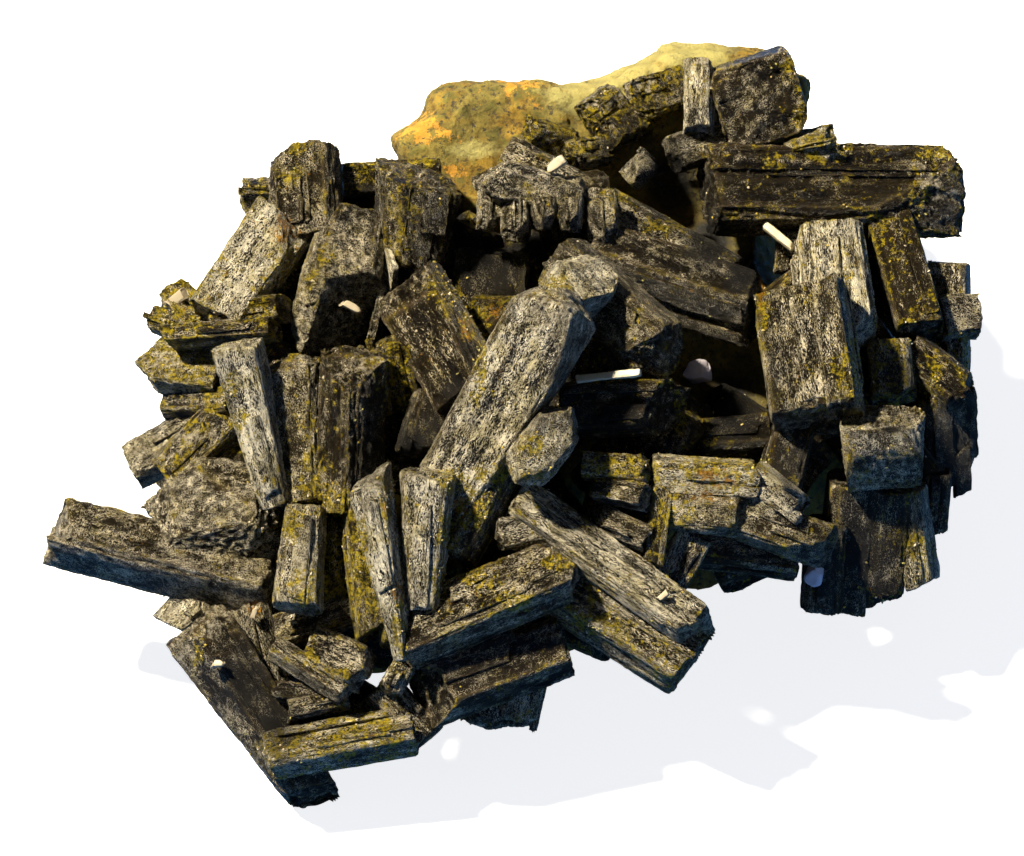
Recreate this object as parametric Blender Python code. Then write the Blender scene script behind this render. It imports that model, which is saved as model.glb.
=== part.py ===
"""An epidote crystal cluster on its matrix rock, at real size.

Metres, +Z up. The rock is cut flat underneath, and the middle of that cut is the origin.

The crystals are placed on the display face, the slanted side that the cluster turns to a viewer
who stands in front (-Y) and looks down on it. Its three directions are across (to the right),
down (towards the viewer's feet) and proud (straight out of the face), all in millimetres.
"""

import math

import bmesh
import bpy
import numpy as np
from mathutils import Matrix, Vector, noise

# Driving dimensions, in millimetres unless the name says otherwise.
MM = 0.001
FACE_WIDTH = 102.4
FACE_HEIGHT = 85.6
LOOK_DOWN_DEG = 50.0
SETBACK = 40.0
SUNK = 7.5
GAP = 0.3
ROCK_GAP_SAFETY = 1.3
SEED = 7
CORNER_SHARE = 0.25
LEAST_CORNER = 1.15
BLANK_ACROSS = 1.4
BLANK_ALONG = 2.4
LEDGE_WIDTH_SHARE = (0.30, 0.42)
LEDGE_REACH = (0.72, 0.92)
LEDGE_STAND = (0.35, 0.75)
LEDGE_OUT = 0.52

LOOK_DOWN = math.radians(LOOK_DOWN_DEG)
ACROSS = Vector((1, 0, 0))
UPWARD = Vector((0, math.sin(LOOK_DOWN), math.cos(LOOK_DOWN)))
PROUD = Vector((0, -math.cos(LOOK_DOWN), math.sin(LOOK_DOWN)))
FACE_CORNER = Vector((-FACE_WIDTH / 2, -SETBACK, -SUNK)) + UPWARD * FACE_HEIGHT

# How an end of a crystal is cut: one plane for each pair, which gives how fast the end falls off
# towards the crystal's side and towards the viewer.
ENDS = {
    "flat": [(0.06, 0.10)],
    "left": [(-0.45, 0.15)],
    "right": [(0.45, 0.15)],
    "front": [(0.05, 0.80)],
    "frontleft": [(-0.40, 0.55)],
    "frontright": [(0.40, 0.55)],
    "roof": [(0.60, 0.10), (-0.75, 0.05)],
    "ridge": [(0.10, 0.75), (0.0, -0.5)],
    "broken": [(0.30, 0.35), (-0.55, 0.20), (0.05, -0.6)],
    "point": [(0.9, 0.5), (-1.0, 0.4), (0.1, -0.9)],
}

# Each crystal: root, tip (across, down, proud), width, thickness, turn about its own length in
# degrees, how many times wider the root is than the tip, tip cut, root cut, ledges.
CRYSTALS = {
    # upper left
    "shoulder": ((30.5, 25.0, 2.0), (30.0, 16.2, -3.0), 7.2, 6.0, 15, 1.05, "roof", "flat", 1),
    "shoulder_knob": ((26.8, 20.8, -2.0), (24.1, 19.8, -2.5), 2.6, 3.2, 0, 1.1, "broken", "flat", 0),
    "gable": ((20.8, 32.2, 5.0), (28.0, 21.6, 2.5), 6.2, 6.0, 28, 0.95, "frontright", "flat", 1),
    "anvil": ((35.4, 23.4, -1.0), (32.9, 31.0, 10.0), 8.8, 7.0, 4, 0.95, "roof", "flat", 0),
    "lintel": ((44.5, 17.2, -6.0), (34.2, 18.4, -5.0), 4.2, 4.6, -12, 1.0, "flat", "flat", 0),
    "bucket": ((42.8, 19.0, -1.0), (41.0, 25.2, 5.5), 6.6, 6.6, -6, 1.40, "broken", "frontleft", 1),
    "fringe_roof": ((56.2, 18.8, 1.0), (47.8, 17.8, 3.2), 5.0, 5.0, -25, 1.1, "roof", "flat", 0),
    "fringe_1": ((48.8, 16.8, -1.0), (48.6, 23.1, 5.5), 2.7, 3.4, 0, 1.1, "broken", "flat", 0),
    "fringe_2": ((51.0, 16.0, -1.0), (51.5, 24.6, 6.5), 3.3, 3.6, 8, 1.1, "broken", "flat", 0),
    "fringe_3": ((54.0, 16.4, -1.0), (54.4, 23.1, 6.0), 3.1, 3.4, -8, 1.1, "broken", "flat", 0),
    "fringe_4": ((56.8, 17.2, -1.0), (57.1, 22.4, 5.5), 2.6, 3.2, 5, 1.1, "roof", "flat", 0),
    "fringe_5": ((59.4, 18.2, -1.0), (60.3, 24.4, 5.5), 3.3, 3.4, -5, 1.1, "broken", "flat", 0),
    "rafter": ((53.4, 16.6, -7.0), (73.6, 28.0, -0.5), 4.6, 5.0, 18, 1.0, "flat", "flat", 0),
    "beam": ((58.2, 22.8, 0.0), (75.6, 32.4, 5.5), 5.4, 6.6, 38, 0.95, "flat", "flat", 1),
    "prow": ((55.8, 26.2, 3.5), (65.2, 34.9, 10.5), 7.0, 6.0, 18, 0.95, "right", "flat", 1),
    # shaded crystals behind the spire
    "pit_1": ((47.5, 22.0, -4.0), (44.6, 29.2, 1.5), 4.2, 4.2, 20, 1.0, "broken", "flat", 0),
    "pit_2": ((53.6, 23.6, -3.0), (48.8, 30.6, 3.0), 5.6, 5.0, -10, 1.0, "broken", "flat", 0),
    "pit_3": ((38.2, 25.0, 2.0), (39.6, 28.4, 6.0), 1.2, 3.2, 30, 1.0, "left", "flat", 0),
    "pit_4": ((54.5, 31.4, 3.0), (46.2, 31.4, 6.0), 5.0, 4.8, 10, 1.0, "broken", "flat", 0),
    # centre
    "spire": ((42.0, 53.4, 11.5), (56.9, 30.6, 19.5), 7.8, 7.2, 24, 1.12, "roof", "flat", 1),
    "spire_twin": ((50.8, 42.8, 7.0), (58.6, 28.6, 13.5), 6.2, 5.6, 24, 1.0, "front", "flat", 0),
    "spire_foot": ((44.2, 56.2, 12.0), (50.4, 44.0, 12.5), 5.0, 5.6, 30, 1.0, "broken", "broken", 0),
    "blade": ((40.7, 66.0, 16.5), (37.1, 47.6, 18.5), 4.5, 4.2, 16, 0.34, "left", "flat", 1),
    "blade_mate": ((42.2, 60.8, 13.5), (42.8, 47.0, 15.5), 5.2, 4.6, 10, 0.66, "flat", "flat", 0),
    "chisel": ((41.2, 29.0, 6.0), (47.2, 39.4, 13.0), 7.4, 6.6, -14, 0.95, "broken", "frontright", 1),
    "chisel_foot": ((43.6, 39.6, 10.5), (41.5, 46.2, 13.5), 4.5, 4.6, 14, 1.1, "broken", "flat", 0),
    # middle left
    "plank": ((29.2, 50.8, 11.0), (24.2, 34.6, 12.8), 4.7, 4.6, 24, 0.62, "flat", "flat", 0),
    "post_1": ((30.0, 50.8, 10.0), (29.6, 34.8, 9.5), 5.2, 6.0, 8, 1.0, "broken", "flat", 0),
    "post_2": ((34.6, 51.2, 11.0), (36.3, 37.8, 13.6), 6.6, 6.2, 18, 1.0, "front", "flat", 1),
    "post_3": ((40.6, 41.2, 8.0), (38.9, 33.0, 10.0), 4.8, 5.0, 10, 1.0, "broken", "flat", 0),
    "boot": ((30.8, 50.2, 12.0), (29.9, 61.0, 14.0), 5.4, 4.6, -14, 0.78, "flat", "flat", 1),
    "slot_back": ((32.8, 49.0, 8.0), (33.0, 60.6, 9.5), 4.8, 4.0, 0, 1.0, "flat", "flat", 0),
    "slot_side": ((35.8, 50.2, 12.0), (37.3, 63.6, 13.0), 3.4, 4.4, 12, 1.0, "left", "flat", 0),
    "slot_lip": ((38.2, 55.0, 12.0), (39.3, 64.6, 13.0), 2.7, 3.4, 8, 1.0, "flat", "flat", 0),
    "heel": ((36.0, 60.4, 9.5), (27.0, 63.6, 8.5), 4.0, 4.2, -20, 1.0, "broken", "flat", 0),
    # far left
    "arm": ((27.6, 57.8, 8.5), (6.0, 52.8, 5.0), 4.7, 4.9, -44, 1.05, "front", "flat", 1),
    "loaf": ((26.6, 49.6, 6.0), (15.0, 49.8, 2.5), 9.2, 6.8, -18, 1.15, "point", "broken", 1),
    "loaf_top": ((17.0, 47.6, 2.5), (23.8, 40.8, 6.0), 5.2, 5.0, 20, 1.0, "left", "flat", 0),
    "ear_low": ((22.4, 41.2, 3.0), (13.2, 46.4, 0.5), 4.4, 4.6, -34, 1.1, "roof", "flat", 0),
    "ear_high": ((23.2, 37.4, 4.0), (14.0, 36.4, 1.0), 4.6, 4.6, -30, 1.3, "point", "flat", 0),
    "ear_brace": ((24.0, 40.4, 6.0), (16.6, 40.6, 1.5), 3.4, 4.0, -30, 1.0, "flat", "flat", 0),
    "shelf": ((28.0, 33.0, 8.5), (16.4, 33.8, 5.0), 2.5, 4.2, -20, 1.0, "left", "flat", 0),
    "shelf_back": ((28.8, 30.8, 7.0), (21.2, 31.8, 4.5), 3.2, 4.2, -12, 1.0, "flat", "flat", 0),
    "ear_top": ((21.2, 33.2, 1.0), (16.2, 28.4, -1.5), 3.8, 4.0, -24, 1.1, "broken", "flat", 0),
    "ear_tip": ((19.8, 33.6, 2.0), (15.0, 32.0, -0.5), 2.8, 3.4, -12, 1.1, "broken", "flat", 0),
    # lower left
    "heavy_leg": ((20.6, 62.2, 9.5), (31.8, 79.2, 9.0), 5.3, 5.4, 16, 1.15, "broken", "front", 1),
    "toe": ((41.8, 72.6, 11.5), (25.8, 75.4, 12.0), 4.1, 4.1, -44, 1.05, "broken", "flat", 1),
    "pebble_1": ((31.8, 69.4, 11.0), (27.0, 68.9, 11.5), 2.3, 2.8, -20, 1.0, "roof", "flat", 0),
    "pebble_2": ((35.2, 69.6, 11.0), (28.6, 71.0, 12.0), 2.5, 2.8, -20, 1.0, "flat", "flat", 0),
    "ridge_1": ((27.2, 64.4, 11.5), (35.0, 69.4, 13.5), 2.6, 3.2, 30, 1.0, "flat", "flat", 0),
    "ridge_2": ((31.0, 64.4, 11.0), (37.6, 67.4, 13.5), 4.8, 4.4, 20, 1.0, "broken", "flat", 0),
    "gully": ((25.0, 60.0, 8.0), (27.6, 70.8, 7.8), 4.4, 4.4, 10, 1.0, "flat", "flat", 0),
    "cream_sliver": ((19.9, 59.2, 6.0), (16.9, 63.5, 5.0), 3.0, 3.2, -20, 1.1, "left", "flat", 0),
    "nub_0": ((32.4, 68.0, 3.5), (38.2, 71.8, 6.0), 5.0, 5.0, 10, 1.0, "flat", "flat", 0),
    "nub_1": ((40.8, 66.0, 12.5), (38.6, 69.6, 12.8), 3.1, 3.4, 0, 1.0, "broken", "flat", 0),
    "nub_2": ((37.8, 68.2, 10.5), (42.2, 73.2, 10.8), 3.6, 3.8, 20, 1.0, "flat", "flat", 0),
    # lower middle
    "log_high": ((41.2, 63.6, 13.0), (57.4, 56.8, 15.0), 5.4, 5.4, 36, 1.1, "roof", "flat", 1),
    "log_low": ((42.0, 69.0, 11.5), (58.6, 63.4, 10.5), 5.0, 5.0, 36, 1.1, "flat", "frontleft", 1),
    "knuckle": ((54.2, 68.2, 8.0), (52.0, 71.8, 9.0), 4.2, 4.0, 10, 1.0, "broken", "flat", 0),
    "shaft": ((51.2, 49.6, 12.5), (69.2, 61.2, 14.0), 4.7, 5.0, 30, 0.95, "right", "flat", 1),
    "shaft_mate": ((55.0, 57.4, 11.0), (66.8, 65.4, 12.0), 5.8, 5.4, 28, 1.0, "frontright", "flat", 1),
    "straw": ((56.4, 51.6, 14.0), (49.2, 53.4, 15.8), 3.4, 3.0, -12, 1.0, "broken", "flat", 0),
    "seed": ((56.2, 42.2, 14.5), (52.2, 47.7, 17.0), 3.8, 3.6, 10, 1.0, "point", "point", 0),
    "splinter": ((49.8, 57.6, 14.5), (44.8, 59.6, 15.8), 2.1, 2.4, -10, 1.0, "flat", "flat", 0),
    # middle right
    "stub": ((56.0, 40.9, 9.5), (66.8, 40.5, 12.5), 5.4, 5.6, 18, 1.0, "frontright", "flat", 1),
    "slat_1": ((59.2, 48.8, 12.0), (64.8, 49.8, 14.8), 2.9, 3.2, 20, 1.0, "flat", "flat", 0),
    "slat_2": ((58.0, 46.6, 12.0), (65.4, 47.0, 14.0), 3.1, 3.4, 16, 1.0, "broken", "flat", 0),
    "slat_3": ((59.8, 51.8, 12.0), (65.2, 54.2, 13.8), 3.2, 3.6, 20, 1.0, "flat", "flat", 0),
    "slat_4": ((66.2, 48.2, 12.5), (65.0, 57.2, 13.2), 2.7, 3.4, 10, 1.0, "broken", "flat", 0),
    "sill": ((64.6, 47.8, 12.0), (76.9, 46.9, 13.8), 3.3, 4.0, 18, 1.0, "flat", "flat", 0),
    "step_1": ((66.2, 50.8, 12.0), (73.2, 52.3, 13.6), 4.6, 4.4, 20, 1.0, "roof", "flat", 0),
    "step_2": ((73.4, 48.2, 12.0), (81.2, 52.0, 12.6), 3.7, 4.0, 24, 1.0, "broken", "flat", 0),
    "step_3": ((71.6, 51.2, 12.0), (82.4, 54.7, 13.0), 4.5, 4.4, 28, 1.0, "roof", "flat", 1),
    "keel_1": ((69.0, 54.6, 9.5), (80.0, 57.0, 9.0), 3.2, 3.8, 26, 1.0, "flat", "flat", 0),
    "keel_2": ((69.6, 53.0, 10.5), (66.5, 58.6, 10.2), 4.2, 4.2, 0, 1.0, "flat", "flat", 0),
    "jamb": ((79.2, 42.0, 7.0), (76.6, 50.2, 10.5), 4.7, 5.0, 10, 1.0, "broken", "flat", 0),
    "brow": ((77.0, 43.3, 6.0), (68.2, 44.2, 8.5), 4.2, 5.0, -20, 1.0, "broken", "flat", 0),
    # right
    "drum": ((80.9, 30.4, 4.5), (83.6, 41.2, 8.6), 8.6, 7.4, -8, 1.0, "front", "flat", 2),
    "curtain": ((83.6, 25.6, -4.5), (84.2, 35.4, 1.0), 8.8, 6.0, 6, 0.95, "broken", "flat", 1),
    "pier_1": ((89.4, 23.2, -8.0), (92.4, 33.4, -3.0), 4.9, 5.0, 10, 1.0, "flat", "flat", 0),
    "pier_2": ((94.8, 34.8, -8.5), (95.2, 26.2, -9.5), 4.3, 5.0, 10, 1.0, "flat", "flat", 0),
    "bolt": ((93.6, 32.0, -6.0), (98.0, 31.6, -7.0), 4.0, 4.2, 16, 1.0, "flat", "flat", 0),
    "pier_3": ((88.4, 34.2, -2.0), (89.0, 41.0, 0.0), 4.8, 4.6, 0, 1.0, "broken", "flat", 0),
    "buttress_1": ((90.6, 35.2, -4.0), (97.2, 40.4, -2.5), 5.0, 5.2, 26, 1.0, "broken", "flat", 0),
    "buttress_2": ((94.4, 38.6, -5.0), (95.7, 50.6, -3.0), 5.6, 6.0, 20, 1.0, "point", "flat", 0),
    "crown": ((88.3, 43.0, 1.0), (87.9, 47.4, 8.0), 9.4, 5.6, 4, 0.95, "broken", "flat", 0),
    "wall_1": ((85.3, 47.4, 2.0), (84.7, 60.4, 4.5), 4.2, 4.4, 6, 1.0, "flat", "flat", 0),
    "wall_2": ((88.7, 48.0, 1.5), (88.5, 60.2, 4.0), 4.4, 4.6, -6, 1.0, "flat", "flat", 0),
    "wall_3": ((91.9, 47.4, 0.0), (91.7, 58.9, 2.5), 3.8, 4.4, 6, 1.0, "flat", "flat", 0),
    "wall_4": ((93.8, 46.8, -2.0), (93.4, 56.8, 0.0), 2.8, 4.4, 10, 1.0, "flat", "flat", 0),
    "wall_0": ((82.8, 51.8, 4.5), (81.6, 60.6, 5.8), 3.6, 4.2, 4, 1.0, "flat", "flat", 0),
    # upper right
    "trunk": ((70.5, 19.4, -6.0), (96.2, 18.7, -11.0), 5.6, 6.6, 36, 1.0, "frontright", "flat", 1),
    "cannon": ((77.4, 9.4, -16.0), (75.6, 11.4, -6.5), 8.2, 6.8, -6, 1.0, "flat", "flat", 1),
    "flute": ((69.8, 13.6, -6.5), (70.1, 6.4, -10.0), 3.1, 4.2, 10, 1.0, "flat", "flat", 0),
    "wedge": ((72.4, 13.8, -9.5), (66.4, 15.6, -7.0), 4.2, 4.4, -10, 1.0, "broken", "flat", 0),
    "tail": ((84.8, 16.4, -11.0), (79.6, 13.6, -11.5), 4.2, 4.4, -10, 1.0, "broken", "flat", 0),
    "button": ((64.6, 17.6, -6.5), (62.9, 15.9, -4.8), 3.8, 3.6, 0, 1.0, "broken", "flat", 0),
    "rim_1": ((60.8, 11.3, -12.0), (58.0, 14.0, -8.0), 4.4, 4.6, 10, 1.0, "broken", "flat", 0),
    "rim_2": ((66.4, 10.6, -13.5), (62.8, 12.8, -9.0), 5.0, 4.8, -10, 1.0, "broken", "flat", 0),
}

# Lone crystals that stand out of the rock at the sides and the back: foot in the rock and tip, both
# given as X, Y, Z; then width, thickness, turn in degrees.
LONE_CRYSTALS = {
    "lone_crystal_back_1": ((-24.0, 5.0, 8.0), (-33.5, 13.0, 12.0), 6.0, 5.2, 20),
    "lone_crystal_back_2": ((-16.0, 18.0, 8.0), (-22.5, 27.0, 14.0), 6.6, 5.6, -15),
    "lone_crystal_back_3": ((-6.0, 26.0, 7.0), (-10.0, 38.5, 11.0), 5.4, 5.0, 30),
    "lone_crystal_back_4": ((8.0, 28.0, 9.0), (6.0, 40.5, 15.0), 6.2, 5.4, 10),
    "lone_crystal_back_5": ((24.0, 26.0, 9.0), (31.0, 34.0, 14.0), 6.6, 5.6, -25),
    "lone_crystal_side_1": ((-26.0, -4.0, 6.0), (-37.0, 1.0, 6.8), 5.6, 5.0, 35),
    "lone_crystal_side_2": ((34.0, 3.0, 7.0), (44.5, 6.0, 8.6), 6.2, 5.4, 10),
    "lone_crystal_side_3": ((33.0, 16.0, 5.5), (43.0, 21.0, 8.0), 5.4, 5.0, -30),
}

# Lumps of the matrix rock: middle X, Y, Z; half sizes along X, Y, Z; how finely the lump is faceted.
ROCK_LUMPS = [
    ((-7.5, -6.0, 6.0), (26.0, 23.0, 21.0), 2),
    ((14.0, 8.0, 6.0), (26.0, 22.0, 23.0), 2),
    ((0.3, 24.0, 16.0), (14.5, 13.0, 17.8), 3),
    ((15.9, 26.0, 17.0), (13.2, 12.0, 18.9), 3),
    ((32.0, 10.0, 5.0), (12.0, 17.0, 13.5), 2),
    ((-20.0, 8.0, 14.0), (13.5, 15.0, 12.5), 2),
]
ROCK_FACETS = 11
ROCK_FACET_REACH = (0.74, 0.92)
ROCK_KNOB_SCALE = 0.13
ROCK_KNOB_SHARE = 0.20

# Pale grains that sit in the cluster: root, tip, width, thickness, turn, tip cut, root cut.
PALE_GRAINS = {
    "pale_rod_long": ((57.7, 37.8, 12.2), (64.1, 37.2, 14.2), 0.9, 1.0, 20, "flat", "flat"),
    "pale_rod_short": ((76.3, 22.3, -3.9), (79.5, 24.9, -2.3), 1.3, 1.3, 20, "left", "flat"),
    "pale_chip_roof": ((54.5, 17.3, 2.2), (56.9, 15.6, 2.6), 1.5, 1.4, 20, "broken", "roof"),
    "pale_chip_anvil": ((34.2, 30.2, 9.0), (36.6, 31.5, 9.0), 1.3, 1.2, 20, "point", "left"),
    "pale_chip_left": ((16.8, 30.6, 0.4), (18.7, 29.2, 1.6), 1.7, 1.6, 10, "flat", "right"),
    "pale_chip_trunk": ((83.1, 22.2, -6.5), (85.1, 20.6, -6.3), 1.5, 1.5, 20, "broken", "roof"),
    "pale_chip_leg": ((21.3, 66.2, 12.8), (23.0, 66.1, 13.2), 1.2, 1.1, 20, "roof", "left"),
    "pale_chip_shaft": ((65.6, 59.9, 16.2), (66.8, 58.9, 16.4), 1.0, 1.0, 20, "flat", "right"),
    "pale_chip_boot": ((25.4, 61.9, 10.6), (25.9, 60.3, 11.0), 1.0, 1.1, 10, "roof", "flat"),
    "lilac_grain": ((67.8, 37.6, -0.2), (71.4, 36.8, 1.6), 2.7, 2.6, 20, "broken", "point"),
    "bluish_grain": ((81.0, 58.9, 6.6), (81.5, 55.9, 7.6), 2.3, 2.0, 10, "point", "broken"),
}

# The bed: stout prisms between the rock and the crystals that show, in rows down the display face.
# Each row gives how far down it lies and how far across it starts and ends.
BED_ROWS = [
    (21, 36, 62),
    (24, 78, 86),
    (31, 27, 60),
    (29, 80, 88),
    (37, 26, 58),
    (37, 82, 90),
    (45, 26, 90),
    (53, 26, 86),
    (61, 30, 60),
    (64, 30, 41),
]
BED_STEP = 11.0
BED_WIDTH = 8.0
BED_THICK = 7.0
BED_LENGTH = 13.0
BED_DEPTH = 13.0
BED_LEAN = 3.0
FACE_CREST = 19.5
FACE_CREST_DOWN = 53.0
FACE_CURVE = 0.0143
LEFT_DROP_FROM = 24.0
RIGHT_DROP_FROM = 68.0
SIDE_DROP_SLOPE = 0.45


def on_face(across, down, proud):
    """The point that lies so far across, down and proud on the display face, in metres."""
    return (FACE_CORNER + ACROSS * across - UPWARD * down + PROUD * proud) * MM


def crystal_frame(root, tip, turn_deg):
    """The matrix of a crystal's own axes: its width, its thickness and its length, root to tip."""
    along = (tip - root).normalized()
    front = (PROUD - along * PROUD.dot(along)).normalized()
    side = front.cross(along)
    turn = math.radians(turn_deg)
    width = side * math.cos(turn) - front * math.sin(turn)
    thick = front * math.cos(turn) + side * math.sin(turn)
    axes = Matrix((width, thick, along)).transposed().to_4x4()
    return Matrix.Translation((root + tip) / 2) @ axes


def cut_away(body, point, outward):
    """Cuts off what lies beyond the plane and closes the cut."""
    everything = body.verts[:] + body.edges[:] + body.faces[:]
    cut = bmesh.ops.bisect_plane(
        body, geom=everything, plane_co=point, plane_no=outward, clear_outer=True, dist=1e-7
    )
    rim = [piece for piece in cut["geom_cut"] if isinstance(piece, bmesh.types.BMEdge)]
    if rim:
        bmesh.ops.edgeloop_fill(body, edges=rim)


def end_planes(cuts, half_length, facing, turn_deg):
    """Point and outward direction of each plane that cuts an end, in the crystal's own axes."""
    turn = math.radians(turn_deg)
    planes = []
    for to_side, to_front in cuts:
        across = -to_side * math.cos(turn) - to_front * math.sin(turn)
        out = to_front * math.cos(turn) - to_side * math.sin(turn)
        planes.append((Vector((0, 0, facing * half_length)), Vector((across, out, facing))))
    return planes


def prism(width, thick, length, turn_deg, flare, tip_cut, root_cut, grow=0.0):
    """A crystal lying along its own Z: a flattened prism with two bevelled corners and cut ends."""
    body = bmesh.new()
    bmesh.ops.create_cube(body, size=1.0)
    wide = width * max(flare, 1.0) * BLANK_ACROSS
    bmesh.ops.scale(body, verts=body.verts, vec=(wide, thick * BLANK_ACROSS, length * BLANK_ALONG))
    slope = width * (flare - 1.0) / (2 * length)
    middle = width * (1.0 + flare) / 4
    half_thick = thick / 2
    leg = CORNER_SHARE * min(width, thick)
    planes = []
    for hand in (1, -1):
        planes.append((Vector((hand * middle, 0, 0)), Vector((hand, 0, slope))))
        planes.append((Vector((0, hand * half_thick, 0)), Vector((0, hand, 0))))
        if leg > LEAST_CORNER * MM:
            planes.append((Vector((hand * (middle - leg), half_thick, 0)), Vector((hand, 1, slope))))
    half_length = length / 2
    planes += end_planes(tip_cut, half_length, 1, turn_deg)
    planes += end_planes(root_cut, half_length, -1, turn_deg)
    for point, outward in planes:
        outward = outward.normalized()
        cut_away(body, point + outward * grow, outward)
    return body


def finish_mesh(body, name):
    """A mesh of the body, with its faces pointing outwards."""
    bmesh.ops.recalc_face_normals(body, faces=body.faces)
    if body.calc_volume(signed=True) < 0:
        bmesh.ops.reverse_faces(body, faces=body.faces)
    mesh = bpy.data.meshes.new(name)
    body.to_mesh(mesh)
    body.free()
    return mesh


def add_object(name, mesh, collection):
    thing = bpy.data.objects.new(name, mesh)
    collection.objects.link(thing)
    return thing


def add_growth(name, body, frame, collection):
    """A helper solid that is later joined to the cluster."""
    body.transform(frame)
    thing = add_object(name, finish_mesh(body, name), collection)
    thing.hide_render = True
    thing.display_type = "WIRE"
    return thing


def add_crystal(name, row, draw, collection):
    """One crystal of the display face with its ledges, thinner prisms that grew along its sides."""
    root, tip, width, thick, turn, flare, tip_end, root_end, ledges = row
    root, tip = on_face(*root), on_face(*tip)
    frame = crystal_frame(root, tip, turn)
    length = (tip - root).length
    width, thick = width * MM, thick * MM
    tip_cut, root_cut = ENDS[tip_end], ENDS[root_end]
    body = prism(width, thick, length, turn, flare, tip_cut, root_cut)
    add_growth(name, body, frame, collection)
    for number in range(ledges):
        hand = 1 if (number + draw.integers(2)) % 2 else -1
        share = draw.uniform(*LEDGE_WIDTH_SHARE)
        reach = draw.uniform(*LEDGE_REACH)
        stand = draw.uniform(*LEDGE_STAND) * MM
        offset = Vector((hand * width * (LEDGE_OUT - share / 2), 0, -length * (1 - reach) / 2))
        ledge = prism(width * share, thick + 2 * stand, length * reach, turn, 1.0, tip_cut, root_cut)
        place = frame @ Matrix.Translation(offset)
        add_growth(f"{name}_ledge_{number + 1}", ledge, place, collection)


def face_height(across, down):
    """How proud the cluster's surface stands at a place on the display face."""
    swell = FACE_CREST - FACE_CURVE * (down - FACE_CREST_DOWN) ** 2
    beyond = max(LEFT_DROP_FROM - across, across - RIGHT_DROP_FROM, 0.0)
    return swell - SIDE_DROP_SLOPE * beyond


def add_bed(draw, collection):
    """The prisms that fill the cluster below those that show."""
    for down, start, end in BED_ROWS:
        count = round((end - start) / BED_STEP) + 1
        for number in range(count):
            across = start + (end - start) * number / (count - 1)
            proud = face_height(across, down) - BED_DEPTH
            heading = draw.uniform(0, math.pi)
            reach = BED_LENGTH / 2
            lean = draw.uniform(-BED_LEAN, BED_LEAN)
            step = (reach * math.cos(heading), reach * math.sin(heading), lean)
            tip = on_face(across + step[0], down + step[1], proud + step[2])
            root = on_face(across - step[0], down - step[1], proud - step[2])
            frame = crystal_frame(root, tip, 0)
            length = (tip - root).length
            body = prism(BED_WIDTH * MM, BED_THICK * MM, length, 0, 1.0, ENDS["flat"], ENDS["flat"])
            add_growth(f"bed_{down}_{number + 1}", body, frame, collection)


def rock_facets(number):
    """Directions in which a lump is broken flat, spread evenly round it, with how far out each lies."""
    golden = math.pi * (3 - math.sqrt(5))
    draw = np.random.default_rng(number)
    facets = []
    for step in range(ROCK_FACETS):
        rise = 1 - 2 * (step + 0.5) / ROCK_FACETS
        spin = golden * step + number
        ring = math.sqrt(1 - rise * rise)
        way = Vector((ring * math.cos(spin), ring * math.sin(spin), rise))
        facets.append((way, draw.uniform(*ROCK_FACET_REACH)))
    return facets


def rock_lump(number, middle, half_sizes, subdivisions, grow):
    """One lump with broken flat faces and a knobbly surface, grown by so much all round."""
    lump = bmesh.new()
    bmesh.ops.create_icosphere(lump, subdivisions=subdivisions, radius=1.0)
    for corner in lump.verts:
        way = corner.co.normalized()
        for facet, reach in rock_facets(number):
            way = way - facet * max(way.dot(facet) - reach, 0.0)
        place = Vector(way[axis] * half_sizes[axis] for axis in range(3))
        knob = noise.noise((place + Vector(middle)) * ROCK_KNOB_SCALE)
        corner.co = (Vector(middle) + place * (1.0 + ROCK_KNOB_SHARE * knob)) * MM
    lump.normal_update()
    for corner in lump.verts:
        corner.co += corner.normal * grow
    return lump


def joined(name, helpers, collection):
    """One solid from all the helpers, joined with exact Booleans."""
    first = helpers[0]
    rest = bpy.data.collections.new(name + "_parts")
    for helper in helpers[1:]:
        rest.objects.link(helper)
    union = first.modifiers.new("join", "BOOLEAN")
    union.operation = "UNION"
    union.operand_type = "COLLECTION"
    union.collection = rest
    union.solver = "EXACT"
    mesh = evaluated_mesh(first, name)
    first.modifiers.remove(union)
    bpy.data.collections.remove(rest)
    return add_object(name, mesh, collection)


def evaluated_mesh(thing, name):
    """The mesh of an object with its modifiers applied."""
    bpy.context.view_layer.update()
    graph = bpy.context.evaluated_depsgraph_get()
    mesh = bpy.data.meshes.new_from_object(thing.evaluated_get(graph))
    mesh.name = name
    return mesh


def cut_by(thing, cutter):
    """Takes the cutter's shape out of the object."""
    cut = thing.modifiers.new("cut_" + cutter.name, "BOOLEAN")
    cut.operation = "DIFFERENCE"
    cut.object = cutter
    cut.solver = "EXACT"


def keep_largest_shell(mesh):
    """Drops sealed hollows and loose crumbs, so that the mesh is one closed body."""
    body = bmesh.new()
    body.from_mesh(mesh)
    unseen = set(body.faces)
    shells = []
    while unseen:
        shell = [unseen.pop()]
        for face in shell:
            near = {other for edge in face.edges for other in edge.link_faces} & unseen
            shell.extend(near)
            unseen -= near
        shells.append(shell)
    largest = max(shells, key=lambda shell: sum(signed_volume(face) for face in shell))
    others = [face for shell in shells if shell is not largest for face in shell]
    bmesh.ops.delete(body, geom=others, context="FACES")
    body.to_mesh(mesh)
    body.free()


def signed_volume(face):
    """Six times the volume between the origin and the face."""
    corners = [corner.co for corner in face.verts]
    first = corners[0]
    pairs = zip(corners[1:], corners[2:], strict=False)
    return sum(first.dot(second.cross(third)) for second, third in pairs)


def material(name, colour, roughness):
    made = bpy.data.materials.new(name)
    made.use_nodes = True
    shader = made.node_tree.nodes["Principled BSDF"]
    shader.inputs["Base Color"].default_value = (*colour, 1.0)
    shader.inputs["Roughness"].default_value = roughness
    shader.inputs["Metallic"].default_value = 0.0
    return made


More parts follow.
